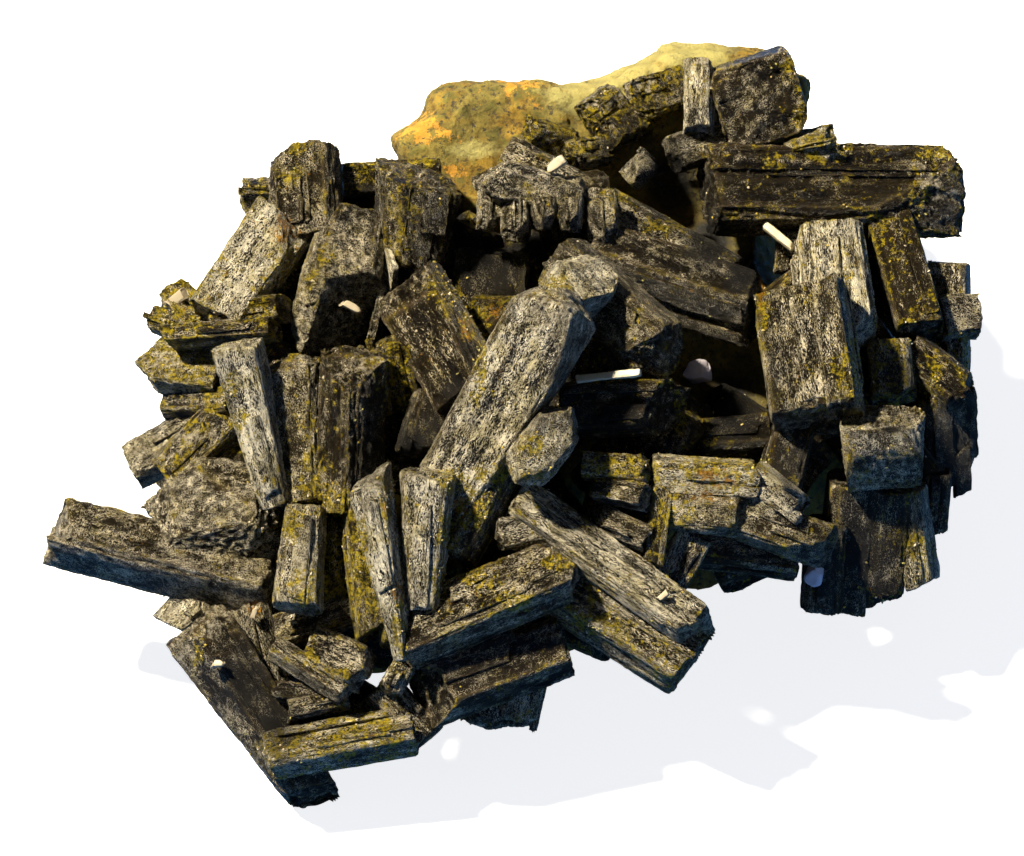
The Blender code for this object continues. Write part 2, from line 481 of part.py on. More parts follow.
def make_rock(collection, cutters):
    """The matrix rock, cut flat underneath, and the slightly larger cutter that clears it."""
    lumps = []
    grown = []
    for number, (middle, half_sizes, subdivisions) in enumerate(ROCK_LUMPS, 1):
        for grow, found in ((0.0, lumps), (GAP * ROCK_GAP_SAFETY * MM, grown)):
            name = f"rock_lump_{number}" if found is lumps else f"rock_clearance_{number}"
            body = rock_lump(number, middle, half_sizes, subdivisions, grow)
            found.append(add_growth(name, body, Matrix.Identity(4), cutters))
    rock = joined("matrix_rock", lumps, collection)
    body = bmesh.new()
    body.from_mesh(rock.data)
    cut_away(body, Vector((0, 0, 0)), Vector((0, 0, -1)))
    body.to_mesh(rock.data)
    body.free()
    keep_largest_shell(rock.data)
    clearance = joined("rock_clearance", grown, cutters)
    clearance.hide_render = True
    clearance.display_type = "WIRE"
    return rock, clearance


def make_grains(collection, cutters):
    """The pale grains and the pockets that clear them."""
    grains = []
    pockets = []
    for name, (root, tip, width, thick, turn, tip_end, root_end) in PALE_GRAINS.items():
        root, tip = on_face(*root), on_face(*tip)
        frame = crystal_frame(root, tip, turn)
        sizes = (width * MM, thick * MM, (tip - root).length, turn, 1.0)
        grain = prism(*sizes, ENDS[tip_end], ENDS[root_end])
        grain.transform(frame)
        grains.append(add_object(name, finish_mesh(grain, name), collection))
        pocket = prism(*sizes, ENDS[tip_end], ENDS[root_end], grow=GAP * MM)
        pockets.append(add_growth(name + "_pocket", pocket, frame, cutters))
    return grains, pockets


def make_lone_crystals(collection, rock_clearance):
    """The crystals that touch no other, each seated in a socket of the rock."""
    crystals = []
    for name, (foot, tip, width, thick, turn) in LONE_CRYSTALS.items():
        foot, tip = Vector(foot) * MM, Vector(tip) * MM
        length = (tip - foot).length
        body = prism(width * MM, thick * MM, length, turn, 1.0, ENDS["roof"], ENDS["flat"])
        body.transform(crystal_frame(foot, tip, turn))
        crystal = add_object(name, finish_mesh(body, name), collection)
        cut_by(crystal, rock_clearance)
        crystals.append(crystal)
    return crystals


def make_cluster(collection, cutters, clearances):
    """All the crystals, grown together in one solid that clears the rock and the grains."""
    draw = np.random.default_rng(SEED)
    helpers = bpy.data.collections.new("crystals_before_joining")
    bpy.context.scene.collection.children.link(helpers)
    helpers.hide_render = True
    for name, row in CRYSTALS.items():
        add_crystal(name, row, draw, helpers)
    add_bed(draw, helpers)
    cluster = joined("epidote_crystals", list(helpers.objects), collection)
    keep_largest_shell(cluster.data)
    for clearance in clearances:
        cut_by(cluster, clearance)
    mesh = evaluated_mesh(cluster, "epidote_crystals")
    cluster.modifiers.clear()
    cluster.data = mesh
    keep_largest_shell(mesh)
    return cluster


def main():
    for thing in list(bpy.data.objects):
        bpy.data.objects.remove(thing, do_unlink=True)
    specimen = bpy.data.collections.new("epidote_cluster")
    cutters = bpy.data.collections.new("cutters")
    for collection in (specimen, cutters):
        bpy.context.scene.collection.children.link(collection)
    cutters.hide_render = True
    rock, rock_clearance = make_rock(specimen, cutters)
    grains, pockets = make_grains(specimen, cutters)
    cluster = make_cluster(specimen, cutters, [rock_clearance, *pockets])
    lone = make_lone_crystals(specimen, rock_clearance)
    epidote = material("epidote", (0.045, 0.040, 0.022), 0.38)
    for crystal in [cluster, *lone]:
        crystal.data.materials.append(epidote)
    rock.data.materials.append(material("matrix", (0.30, 0.24, 0.10), 0.85))
    cream = material("pale_crystal", (0.74, 0.68, 0.52), 0.45)
    for grain in grains:
        grain.data.materials.append(cream)


main()
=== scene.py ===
"""The finished look of the epidote crystal cluster: crystals, rock, crust, pale grains and a plain studio.

Metres, in the frame of the solids. Each crystal is grown by one Geometry Nodes tree, in millimetres
along its own axes, and is then laid in its place on the display face of the cluster.
"""

import math
from functools import partial, reduce

import bmesh
import bpy
import numpy as np
from mathutils import Matrix, Vector, noise

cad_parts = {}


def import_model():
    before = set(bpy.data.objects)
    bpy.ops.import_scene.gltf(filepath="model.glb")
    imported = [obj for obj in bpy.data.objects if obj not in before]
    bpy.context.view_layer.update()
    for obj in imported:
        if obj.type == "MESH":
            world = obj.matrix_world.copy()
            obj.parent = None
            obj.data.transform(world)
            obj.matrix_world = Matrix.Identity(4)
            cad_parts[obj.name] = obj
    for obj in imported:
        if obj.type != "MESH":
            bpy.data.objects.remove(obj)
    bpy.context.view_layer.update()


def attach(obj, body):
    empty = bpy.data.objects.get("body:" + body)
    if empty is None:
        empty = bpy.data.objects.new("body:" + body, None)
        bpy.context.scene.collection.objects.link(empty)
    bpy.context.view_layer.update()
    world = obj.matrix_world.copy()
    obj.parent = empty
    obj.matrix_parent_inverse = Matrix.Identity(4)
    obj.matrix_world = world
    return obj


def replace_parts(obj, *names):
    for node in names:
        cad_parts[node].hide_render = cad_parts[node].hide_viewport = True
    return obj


MM = 0.001
IN_METRES = Matrix.Diagonal((MM, MM, MM, 1.0))

# The display face, the slanted side that the cluster turns to a viewer who stands in front and looks
# down on it. Places on it are given in millimetres across, down and proud (straight out of it).
FACE_WIDTH = 102.4
FACE_HEIGHT = 85.6
LOOK_DOWN = math.radians(50.0)
SETBACK = 40.0
SUNK = 7.5
ACROSS = Vector((1, 0, 0))
UPWARD = Vector((0, math.sin(LOOK_DOWN), math.cos(LOOK_DOWN)))
PROUD = Vector((0, -math.cos(LOOK_DOWN), math.sin(LOOK_DOWN)))
FACE_CORNER = Vector((-FACE_WIDTH / 2, -SETBACK, -SUNK)) + UPWARD * FACE_HEIGHT
VIEW_DISTANCE = 1500.0
SENSOR_WIDTH = 36.0

# How an end of a crystal is cut: one plane for each pair, which gives how fast the end falls off
# towards the crystal's side and towards the viewer.
ENDS = {
    "flat": [(0.06, 0.1)],
    "left": [(-0.45, 0.15)],
    "right": [(0.45, 0.15)],
    "front": [(0.05, 0.8)],
    "frontright": [(0.4, 0.55)],
    "roof": [(0.6, 0.1), (-0.75, 0.05)],
    "broken": [(0.3, 0.35), (-0.55, 0.2), (0.05, -0.6)],
    "point": [(0.9, 0.5), (-1, 0.4), (0.1, -0.9)],
}

# How the relief of rough, ragged, lumpy and stepped crystals differs from the crystal tree's own.
ROUGH = {"Pit Relief": 0.22, "Groove Relief": 0.2, "Sway": 0.6}
RAGGED = {"Groove Relief": 0.3, "Lath Relief": 0.3, "Lath Width": 1.1}
LUMPY = ROUGH | {"Nibble": 0.9, "Pit Relief": 0.5}
STEPPED = {"Lath Relief": 0.25}
SMOOTH = {"Lath Relief": 0.0, "Groove Relief": 0.02, "End Relief": 0.05, "Pit Relief": 0.04}
SMOOTH |= {"Nibble": 0.25, "Sway": 0.45, "Edge Sharpness": 10.0}

# A look: how pale, how granular and how yellow a crystal is, and its relief if that is special.
# How pale also paints light: the cream streaks are pale ridges and painted glints, fewer on crystals that lie
# in shade.
PLAIN = (0.50, 0.15, 0.18)
BED_LOOK = (0.10, 0.7, 0.2)

# Each crystal: root, tip (across, down, proud), width, thickness and turn about its own length in
# degrees. Then its look, how many times wider the root is than the tip, tip cut, how many slabs it has
# beyond the usual, and root cut. The last of these are left out where they are the usual ones.
CRYSTALS = {
    "upper_left": {
        "shoulder": ((31, 25, 2), (30.3, 14.7, -3), 7.7, 6, 10, (0.4, 0.6, 0.12, RAGGED), 1, "flat", 1),
        "shoulder_knob": (
            (28.5, 19.9, -2.5), (23.3, 19.8, -2.5), 4.6, 3.8, 20, (0.5, 0.8, 0.5, ROUGH), 1.1, "broken",
        ),
        "gable": ((21.6, 32.3, 5), (28.9, 21.6, 2.5), 6.8, 6, 16, (1, 0.3, 0.2), 0.92),
        "anvil": ((35.2, 22.9, -1.8), (32.3, 36.5, 12.8), 9.6, 9.4, 2, (0.6, 0.8, 0.18, ROUGH), 0.84),
        "lintel": ((44.5, 17.6, -6), (33.6, 18.2, -5), 3.8, 5, -12, (0.2, 0.15, 0.5)),
        "lintel_back": ((44, 21, -8), (32.6, 21.2, -7), 6, 5, -12, (0.05, 0.5, 0.4)),
        "bucket": ((40.9, 26.5, 0.5), (42.1, 17, 3.6), 9.3, 7.4, -14, (0.3, 0.6, 0.35, RAGGED), 0.74),
        "fringe_roof": (
            (58.4, 19.8, 0.6), (47.2, 18.2, 3.2), 5.4, 5.8, -18, (0.6, 1, 0.18, ROUGH), 1, "roof",
        ),
        "fringe_1": ((49.2, 18, 0.4), (48.7, 23.6, 5.8), 2.8, 3, 14, (0.65, 0.5, 0.18, ROUGH), 1.3, "point"),
        "fringe_2": (
            (51.4, 17.2, 0.4), (51.6, 25, 6.9), 3.6, 3.4, -16, (0.65, 0.5, 0.18, ROUGH), 1.3, "point",
        ),
        "fringe_3": ((54.4, 17.6, 0.4), (54.2, 23.4, 6.2), 3.2, 3, 18, (0.5, 0.5, 0.18, ROUGH), 1.3, "point"),
        "fringe_4": ((57, 18.2, 0.2), (57, 23.6, 5.8), 2.9, 3, -18, (0.5, 0.5, 0.18, ROUGH), 1.3, "point"),
        "fringe_5": (
            (59.8, 19.4, -0.8), (60.4, 24.6, 5.2), 3.6, 3.4, 14, (0.6, 0.5, 0.18, ROUGH), 1.3, "point",
        ),
        "rafter": ((50.3, 15.4, -8.6), (73.6, 28, -0.5), 4.8, 5, 18, (0.55, 0.2, 0.25)),
        "beam": ((59, 25.4, 0.5), (76.2, 31.2, 5), 7.4, 5.8, -46, (0.24, 0.8, 0.1), 1, "flat", 1),
        "prow": ((55.8, 26, 4), (66.8, 35.8, 11.8), 6.8, 6, -22, (0.32, 0.5, 0.15), 0.95, "flat", 1),
    },
    "hollow": {
        "pit_1": ((47.5, 22, -7), (44.6, 29.2, -2), 4.2, 4.2, 20, (0.05, 0.15, 0.4), 1, "broken"),
        "pit_2": ((53.6, 23.6, -8), (48.8, 30.6, -3.4), 5.6, 5, -10, (0.05, 0.15, 0.4), 1, "broken"),
        "pit_3": ((38.2, 25, 2), (39.6, 28.4, 6), 1.2, 3.2, 30, (0.95, 0.15, 0.18), 1, "left"),
        "pit_4": ((54.5, 31.2, -1.5), (46.2, 31.6, 1.6), 4.6, 4.8, 10, (0.15, 0.15, 0.7), 1, "broken"),
    },
    "centre": {
        "spire": ((43.3, 52.2, 11), (56.8, 29.2, 18.6), 9.2, 6.8, 10, (0.8, 0.15, 0), 0.78),
        "spire_twin": ((55.2, 33.2, 9), (58.8, 27.2, 14.2), 6.8, 6.4, 20, (1, 0.9, 0)),
        "spire_foot": (
            (44.6, 56.2, 13), (51.4, 44, 13), 5.4, 5.6, 30, (0.25, 0.4, 0.3), 1, "broken", 0, "broken",
        ),
        "blade": ((40.7, 66, 15.5), (37.1, 47.4, 17), 4.7, 4, 22, (1, 0.1, 0.1), 0.34, "left"),
        "blade_mate": ((42.4, 61, 14.5), (42.9, 47, 17), 5.8, 4.6, 12, (0.85, 0.2, 0.18), 0.66),
        "chisel": ((40.6, 28, 6), (47.9, 40.2, 13), 7.6, 6.6, -20, (0.1, 0, 0), 0.95),
        "chisel_foot": ((43.6, 39.6, 10.5), (41.5, 46.2, 13.5), 4.5, 4.6, 14, (0.2, 0.9, 0.1), 1.1, "broken"),
    },
    "middle_left": {
        "plank": ((28.2, 50.8, 11), (23.9, 34.2, 12.8), 5.3, 4.6, 18, (0.95, 0.1, 0.18), 0.6),
        "post_1": ((30.2, 50.8, 10), (29.4, 34.8, 9.5), 6.4, 6, 8, (0.5, 0.6, 0.3, RAGGED), 1, "broken"),
        "post_2": ((34.8, 51.2, 10.5), (35.6, 35.2, 13.4), 6.6, 6.2, -44, (0.2, 0.6, 0.2, RAGGED)),
        "post_3": ((40.6, 41.2, 8), (38.9, 33, 10), 4.8, 5, 10, (0.15, 0.15, 0.6), 1, "broken"),
        "boot": ((30.8, 50.2, 12), (29.9, 61, 14), 5.4, 4.6, -14, (0.7, 0.4, 0.2), 0.78, "flat", 1),
        "slot_back": ((32.8, 49, 8), (33, 60.6, 9.5), 4.8, 4, 0, (0.05, 0.15, 0.7)),
        "slot_side": ((35.8, 50.2, 12), (37.3, 63.6, 13), 3.4, 4.4, 12, (0.25, 0.15, 0.6), 1, "left"),
        "slot_lip": ((38.2, 55, 12), (39.3, 64.6, 13), 2.7, 3.4, 8, (0.3, 0.15, 0.6)),
        "heel": ((36, 60.4, 9.5), (27, 63.6, 8.5), 4, 4.2, -20, PLAIN, 1, "broken"),
    },
    "far_left": {
        "arm": ((27.6, 58.7, 7.6), (5, 53.1, 4.6), 5.7, 6.8, -40, (0.56, 0.8, 0.05), 1.05),
        "loaf": (
            (28.6, 52.6, 9.4), (13.4, 50.4, 4), 11.2, 8, -14, (0.64, 1, 0.1, LUMPY), 1.1, "point", 0,
            "broken",
        ),
        "loaf_top": ((17, 47.6, 2.5), (23.8, 40.8, 6), 5.2, 5, 20, (0.4, 0.15, 0.4), 1, "left"),
        "ear_low": ((22.4, 41.6, 3), (12.9, 46.9, 0.5), 5.2, 4.6, -34, (0.95, 0.8, 0.18, ROUGH), 1.1),
        "ear_high": ((23, 37.2, 4), (12.9, 36.1, 1), 6, 4.8, -30, (0.85, 0.8, 0.6, ROUGH), 1.2, "point"),
        "ear_brace": ((24, 40.4, 6), (16.6, 40.6, 1.5), 3.4, 4, -30, (0.4, 0.15, 0.4)),
        "shelf": ((28, 33, 8.5), (16.4, 33.8, 5), 2.5, 4.2, -20, (0.3, 0.15, 0.4), 1, "left"),
        "shelf_back": ((28.8, 30.8, 7), (21.2, 31.8, 4.5), 3.2, 4.2, -12, (0.2, 0.15, 0.4)),
        "ear_top": ((21.2, 33.2, 1), (16.2, 28.4, -1.5), 3.8, 4, -24, (0.5, 0.8, 0.9, ROUGH), 1.1, "broken"),
        "ear_tip": (
            (19.8, 33.6, 2), (14.4, 31.6, -0.5), 3.2, 3.4, -12, (0.5, 0.8, 0.7, ROUGH), 1.1, "broken",
        ),
    },
    "lower_left": {
        "heavy_leg": ((19.6, 62.1, 9.9), (31.7, 79.7, 8.4), 5.3, 5.4, 8, (0.2, 0.9, 0), 1.48, "frontright"),
        "toe": ((41.8, 72.9, 11.5), (25.8, 75.7, 12), 4.7, 4.3, -44, (0.75, 0.2, 0.5), 1.05, "broken", 1),
        "pebble_1": ((31.8, 69.4, 11), (27, 68.9, 11.5), 2.3, 2.8, -20, PLAIN, 1, "roof"),
        "pebble_2": ((35.2, 69.6, 11), (28.6, 71, 12), 2.5, 2.8, -20),
        "ridge_1": ((27.2, 64.4, 11.5), (35, 69.4, 13.5), 2.6, 3.2, 30),
        "ridge_2": ((31, 64.4, 11), (37.6, 67.4, 13.5), 4.8, 4.4, 20, PLAIN, 1, "broken"),
        "gully": ((25, 60, 8), (27.6, 70.8, 7.8), 4.4, 4.4, 10),
        "cream_sliver": ((20.8, 59.2, 6), (16.9, 62.6, 5.2), 4, 3.4, -20, (1, 0.3, 0.18), 1.3, "left"),
        "gully_end": ((36, 72.4, 6), (27, 73.6, 7), 5, 4.4, 0, (0.1, 0.15, 0.18)),
        "gully_top": ((24.8, 58, 5), (18.8, 61.8, 5.5), 4.6, 4.4, -10),
        "nub_0": ((32.4, 68, 3.5), (38.2, 71.8, 6), 5, 5, 10),
        "nub_1": ((40.8, 66, 12.5), (38.6, 69.6, 12.8), 3.1, 3.4, 0, PLAIN, 1, "broken"),
        "nub_2": ((37.8, 68.2, 10.5), (43, 73.9, 10.8), 4.2, 3.8, 20),
    },
    "lower_middle": {
        "log_high": ((39.6, 64, 13.5), (58.2, 56.2, 15.2), 6.2, 5.6, 32, (0.45, 0.3, 0.2), 1.1, "roof", 1),
        "log_low": ((41.6, 69.6, 12.5), (56.9, 64.2, 11.5), 6.4, 5.4, 26, (0.22, 0.6, 0.1), 1.1, "flat", 1),
        "knuckle": ((52.8, 66.6, 8.5), (51.2, 73, 9.6), 4.4, 4, 10, (0.8, 0.4, 0.3), 1, "broken"),
        "knuckle_low": ((49.6, 66.4, 8.5), (48.6, 73.2, 9.4), 5.8, 4.2, 6, PLAIN, 1, "broken"),
        "shaft": ((51.2, 49.7, 12.5), (70.1, 63.4, 14), 4.9, 5, 26, (0.85, 0, 0.1), 0.95, "frontright", 1),
        "shaft_mate": ((55, 57.6, 11), (69, 66.5, 12), 7.1, 5.6, 28, (0.55, 0.1, 0.35), 1, "flat", 1),
        "straw": ((56.4, 52.2, 12.6), (49, 53.6, 14.2), 3.6, 3, -12, (0.7, 0.1, 0.18), 1, "broken"),
        "seed": (
            (57.4, 40.2, 16.4), (51.2, 48.8, 18.4), 5.6, 4.8, 10, (0.85, 1, 0.15), 1, "point", 0, "point",
        ),
        "splinter": ((49.8, 57.6, 14.5), (44.8, 59.6, 15.8), 2.1, 2.4, -10),
    },
    "middle_right": {
        "stub": ((56, 41.2, 9), (66.8, 40.8, 12), 5.4, 5.6, 18, (0.12, 0.3, 0.18), 1, "frontright", 1),
        "slat_1": ((59.2, 48.8, 12), (64.8, 49.8, 14.8), 2.9, 3.2, 20),
        "slat_2": ((58, 46.6, 12), (65.4, 47, 14), 3.1, 3.4, 16, (0.55, 0.15, 0.4), 1, "broken"),
        "slat_3": ((59.8, 51.8, 12), (65.2, 54.2, 13.8), 3.2, 3.6, 20),
        "slat_4": ((66.2, 48.2, 12.5), (65, 57.2, 13.2), 2.7, 3.4, 10, (0.4, 0.15, 0.5), 1, "broken"),
        "sill": ((65, 47.3, 12), (76.6, 47.9, 13.6), 3.9, 4.4, -14, (0.85, 0.3, 0.4), 1, "roof"),
        "step_1": ((66.4, 50.6, 12), (74.2, 51.6, 13.6), 4.8, 4.4, -12, (0.55, 0.6, 0.3)),
        "step_2": ((74.6, 47.6, 12.4), (80.9, 52.4, 13.8), 4.6, 4.2, -12, (0.9, 0.4, 0.18), 1, "point"),
        "step_3": ((72.8, 51.2, 12), (82.8, 54.8, 13.4), 4.8, 4.6, 18, (0.5, 0.8, 0.3)),
        "keel_1": ((69, 54.7, 9.5), (80, 56.2, 8.6), 4, 3.8, 26, (0.2, 0.2, 0.18)),
        "keel_2": ((69.6, 53, 10.5), (66.5, 58.6, 10.2), 4.2, 4.2, 0),
        "jamb": ((79.2, 42.6, 5), (77.2, 50.6, 8), 4.7, 5, 10, (0.08, 0.6, 0.2), 1, "broken"),
        "brow": ((77, 43.6, 4), (68.6, 44.2, 6), 4.2, 5, -20, (0.12, 0.6, 0.3), 1, "broken"),
    },
    "right": {
        "drum": ((79.8, 28.8, 4.5), (81.8, 42.6, 8.8), 9.8, 7.4, -4, (0.46, 0.1, 0.15), 1, "flat", 2),
        "curtain": ((83, 22.6, -5.5), (84, 35.4, 1), 8.8, 6, 6, (0.95, 0, 0.2, STEPPED), 0.8, "broken", 2),
        "pier_1": ((88.6, 21, -8.6), (92.2, 33.4, -3.4), 5.4, 5, 10, (0.02, 0.15, 0.3)),
        "pier_back": ((86, 31.5, -9.5), (86.4, 23.2, -10), 4.6, 3, 0),
        "nook": ((79.3, 27.5, -7), (79.6, 22.6, -7), 4.2, 3, 0),
        "pier_2": ((95.2, 37.8, -8.5), (95.2, 25.9, -9.5), 4.6, 5, 10),
        "bolt": ((93.6, 32, -6), (98.2, 31.6, -7.4), 4.6, 4.2, 16, (0.6, 0.6, 0.18)),
        "pier_3": ((88.9, 34, -2), (89.5, 41, 0), 5, 4.6, 0, (0.4, 0.15, 0.5), 1, "broken"),
        "buttress_1": ((90.6, 35.2, -4), (97.2, 40.4, -2.5), 5, 5.2, 26, (0.1, 0.15, 0.2), 1, "broken"),
        "buttress_2": ((94, 38.6, -4.5), (94.5, 49.8, -7), 6.6, 6, 30, (0.1, 0.8, 0), 1, "point"),
        "crown": ((88.3, 49.4, 6.6), (88, 41.4, 9.6), 9.6, 6.5, 0, (0.7, 0.8, 0.3, ROUGH), 0.84),
        "wall_1": ((85.2, 47.4, 4), (83.8, 61.3, -0.5), 5.4, 5.4, 10, (0.1, 0.4, 0.1)),
        "wall_2": ((88.8, 48, 3.5), (87.8, 60.9, -1), 5.4, 5.6, 0, (0.15, 0.4, 0.25)),
        "wall_3": ((90.8, 48.6, 2.6), (92.4, 59.4, 1.4), 3.6, 4.4, -20, (0.75, 0.1, 0.18)),
        "wall_4": ((93.6, 46.8, -2), (93, 54.2, -3), 3.6, 4.4, 10, (0.1, 0.15, 0.18), 1, "broken"),
        "wall_0": ((82.5, 51.8, 4.5), (82, 61.3, 2), 4.4, 4.4, 10, (0.2, 0.6, 0.2)),
    },
    "upper_right": {
        "trunk": (
            (70.5, 18.9, -6), (97.1, 19.2, -10.6), 9.4, 6.4, 30, (0.06, 0.6, 0.22, RAGGED), 1, "flat", 1,
        ),
        "cannon": ((75.8, 9.2, -16), (76.1, 10, -6.5), 9.3, 9, 4, (0.25, 0.9, 0.1)),
        "flute": ((69.9, 13.6, -6.5), (70, 5.8, -10.4), 3.3, 4.2, 6, (0.95, 0, 0.18)),
        "wedge": ((72.4, 13.8, -9.5), (66.4, 15.6, -7), 4.2, 4.4, -10, PLAIN, 1, "broken"),
        "tail": ((78.8, 15, -9), (84.6, 13.8, -6.8), 4, 4.6, -20, (0.8, 0.8, 0.7, ROUGH), 1, "broken"),
        "button": ((64.6, 17.6, -6.5), (62.9, 15.9, -4.8), 3.8, 3.6, 0, (0.7, 0.8, 0.18), 1, "broken"),
        "rim_3": ((64.8, 11.6, -12.5), (60.6, 13.4, -8.2), 3.8, 3.6, -20, (0.2, 0.8, 0.5, ROUGH)),
        "rim_1": ((61.5, 9.6, -13), (58.6, 12, -8.6), 4.4, 4.4, 10, (0.3, 0.8, 0.7, ROUGH), 1, "broken"),
        "rim_2": ((68.6, 8.6, -14), (62.6, 10.4, -9.6), 5.4, 5, -10, (0.25, 0.8, 0.7, ROUGH), 1, "broken"),
        "rim_4": ((57.2, 14.6, -12), (51.6, 12.8, -8.4), 4.6, 4.2, 10, (0.25, 0.8, 0.8, ROUGH), 1, "broken"),
        "rim_5": ((61, 14.8, -11), (56, 15.4, -7.4), 3.8, 3.8, -16, (0.4, 0.8, 0.5, ROUGH), 1, "point"),
    },
}

# Crystals that stand out of the rock: foot in the rock and tip, as X, Y, Z; width, thickness, turn.
LONE_CRYSTALS = {
    "lone_crystal_back_1": ((-24, 5, 8), (-33.5, 13, 12), 6, 5.2, 20),
    "lone_crystal_back_2": ((-16, 18, 8), (-22.5, 27, 14), 6.6, 5.6, -15),
    "lone_crystal_back_3": ((-6, 26, 7), (-10, 38.5, 11), 5.4, 5, 30),
    "lone_crystal_back_4": ((8, 28, 9), (6, 40.5, 15), 6.2, 5.4, 10),
    "lone_crystal_back_5": ((24, 26, 9), (31, 34, 14), 6.6, 5.6, -25),
    "lone_crystal_side_1": ((-26, -4, 6), (-37, 1, 6.8), 5.6, 5, 35),
    "lone_crystal_side_2": ((34, 3, 7), (44.5, 6, 8.6), 6.2, 5.4, 10),
    "lone_crystal_side_3": ((33, 16, 5.5), (43, 21, 8), 5.4, 5, -30),
}

# Pale grains: root, tip (across, down, proud), width, thickness, turn, tip cut, root cut.
PALE_GRAINS = {
    "pale_rod_long": ((57.4, 38, 14.8), (64.1, 37.3, 16.8), 1.2, 1.1, 20, "flat", "flat"),
    "pale_rod_short": ((76.3, 22.3, -3.9), (79.5, 24.9, -2.3), 1.3, 1.3, 20, "left", "flat"),
    "pale_chip_roof": ((54.5, 17.3, 2.2), (56.9, 15.6, 2.6), 1.5, 1.4, 20, "broken", "roof"),
    "pale_chip_anvil": ((34.2, 30.2, 9), (36.6, 31.5, 9), 1.3, 1.2, 20, "point", "left"),
    "pale_chip_left": ((16.8, 30.6, 0.4), (18.7, 29.2, 1.6), 1.7, 1.6, 10, "flat", "right"),
    "pale_chip_trunk": ((83.1, 22.2, -6.5), (85.1, 20.6, -6.3), 1.5, 1.5, 20, "broken", "roof"),
    "pale_chip_leg": ((21.3, 66.2, 12.8), (23, 66.1, 13.2), 1.2, 1.1, 20, "roof", "left"),
    "pale_chip_shaft": ((65.6, 59.9, 16.2), (66.8, 58.9, 16.4), 1, 1, 20, "flat", "right"),
    "pale_chip_boot": ((25.4, 61.9, 10.6), (25.9, 60.3, 11), 1, 1.1, 10, "roof", "flat"),
    "lilac_grain": ((67.8, 37.6, -0.2), (71.4, 36.8, 1.6), 2.7, 2.6, 20, "broken", "point"),
    "bluish_grain": ((81, 58.9, 6.6), (81.5, 55.9, 7.6), 2.3, 2, 10, "point", "broken"),
}
LILAC_GRAINS = ("lilac_grain", "bluish_grain")

# The bed: how far down each row of prisms lies, and how far across it starts and ends.
BED_ROWS = [
    (25, 43, 58), (31, 30, 58), (31, 80, 86), (38, 28, 58), (38, 82, 88), (45, 28, 88), (52, 28, 73),
    (60, 32, 56), (63, 32, 39),
]
BED_STEP = 11.0
BED_SIZE = (8.0, 7.0, 13.0)
BED_DEPTH = 14.5
BED_LEAN = 3.0
FACE_CREST = 19.5
FACE_CREST_DOWN = 53.0
FACE_CURVE = 0.0143
LEFT_DROP_FROM = 24.0
RIGHT_DROP_FROM = 68.0
SIDE_DROP_SLOPE = 0.45

# How the crystals are grown. Lengths in millimetres, corners as shares of the thinner side.
CORNERS = (0.09, 0.09)
CORNER_RANGE = (0.05, 0.24)
BACK_CORNER = 0.18
FACE_SLOTS = 18
SLIMMING = 0.12
CRYSTAL_DRAW = 7
GRAIN_SEED = 900
CRUMB_SIZE = 0.36

# The cells of a crystal's mesh, and how many times larger they are on slabs, bed and pale grains.
CELL_ACROSS = 0.24
CELL_ALONG = 0.42
SLAB_CELL = 1.25
BED_CELL = 1.8
GRAIN_CELL = 0.35

# Slabs: one for each such length of a crystal, and their sizes. Widths and reaches are shares.
SLAB_EVERY = 16
SLAB_WIDTH_SHARE = (0.24, 0.46)
SLAB_LEAST_WIDTH = 0.9
SLAB_REACH = (0.45, 0.95)
SLAB_STAND = (0.05, 0.40)
SLAB_THICK = (0.9, 1.6)
FRONT_SLAB_SPREAD = 0.45
SIDE_SLAB_SPREAD = 0.4
MOST_FLARE_FOR_SIDE_SLABS = 0.2
LONE_SLABS = 3

# Front corners of single crystals: left and right of the axis.
CORNERS_OF = {
    "spire": (0.06, 0.05), "arm": (0.04, 0.04), "beam": (0.05, 0.05), "chisel": (0.05, 0.05),
    "gable": (0.06, 0.04), "plank": (0.05, 0.05), "heavy_leg": (0.06, 0.06), "blade": (0.04, 0.05),
    "log_high": (0.06, 0.06), "shaft": (0.08, 0.06),
}

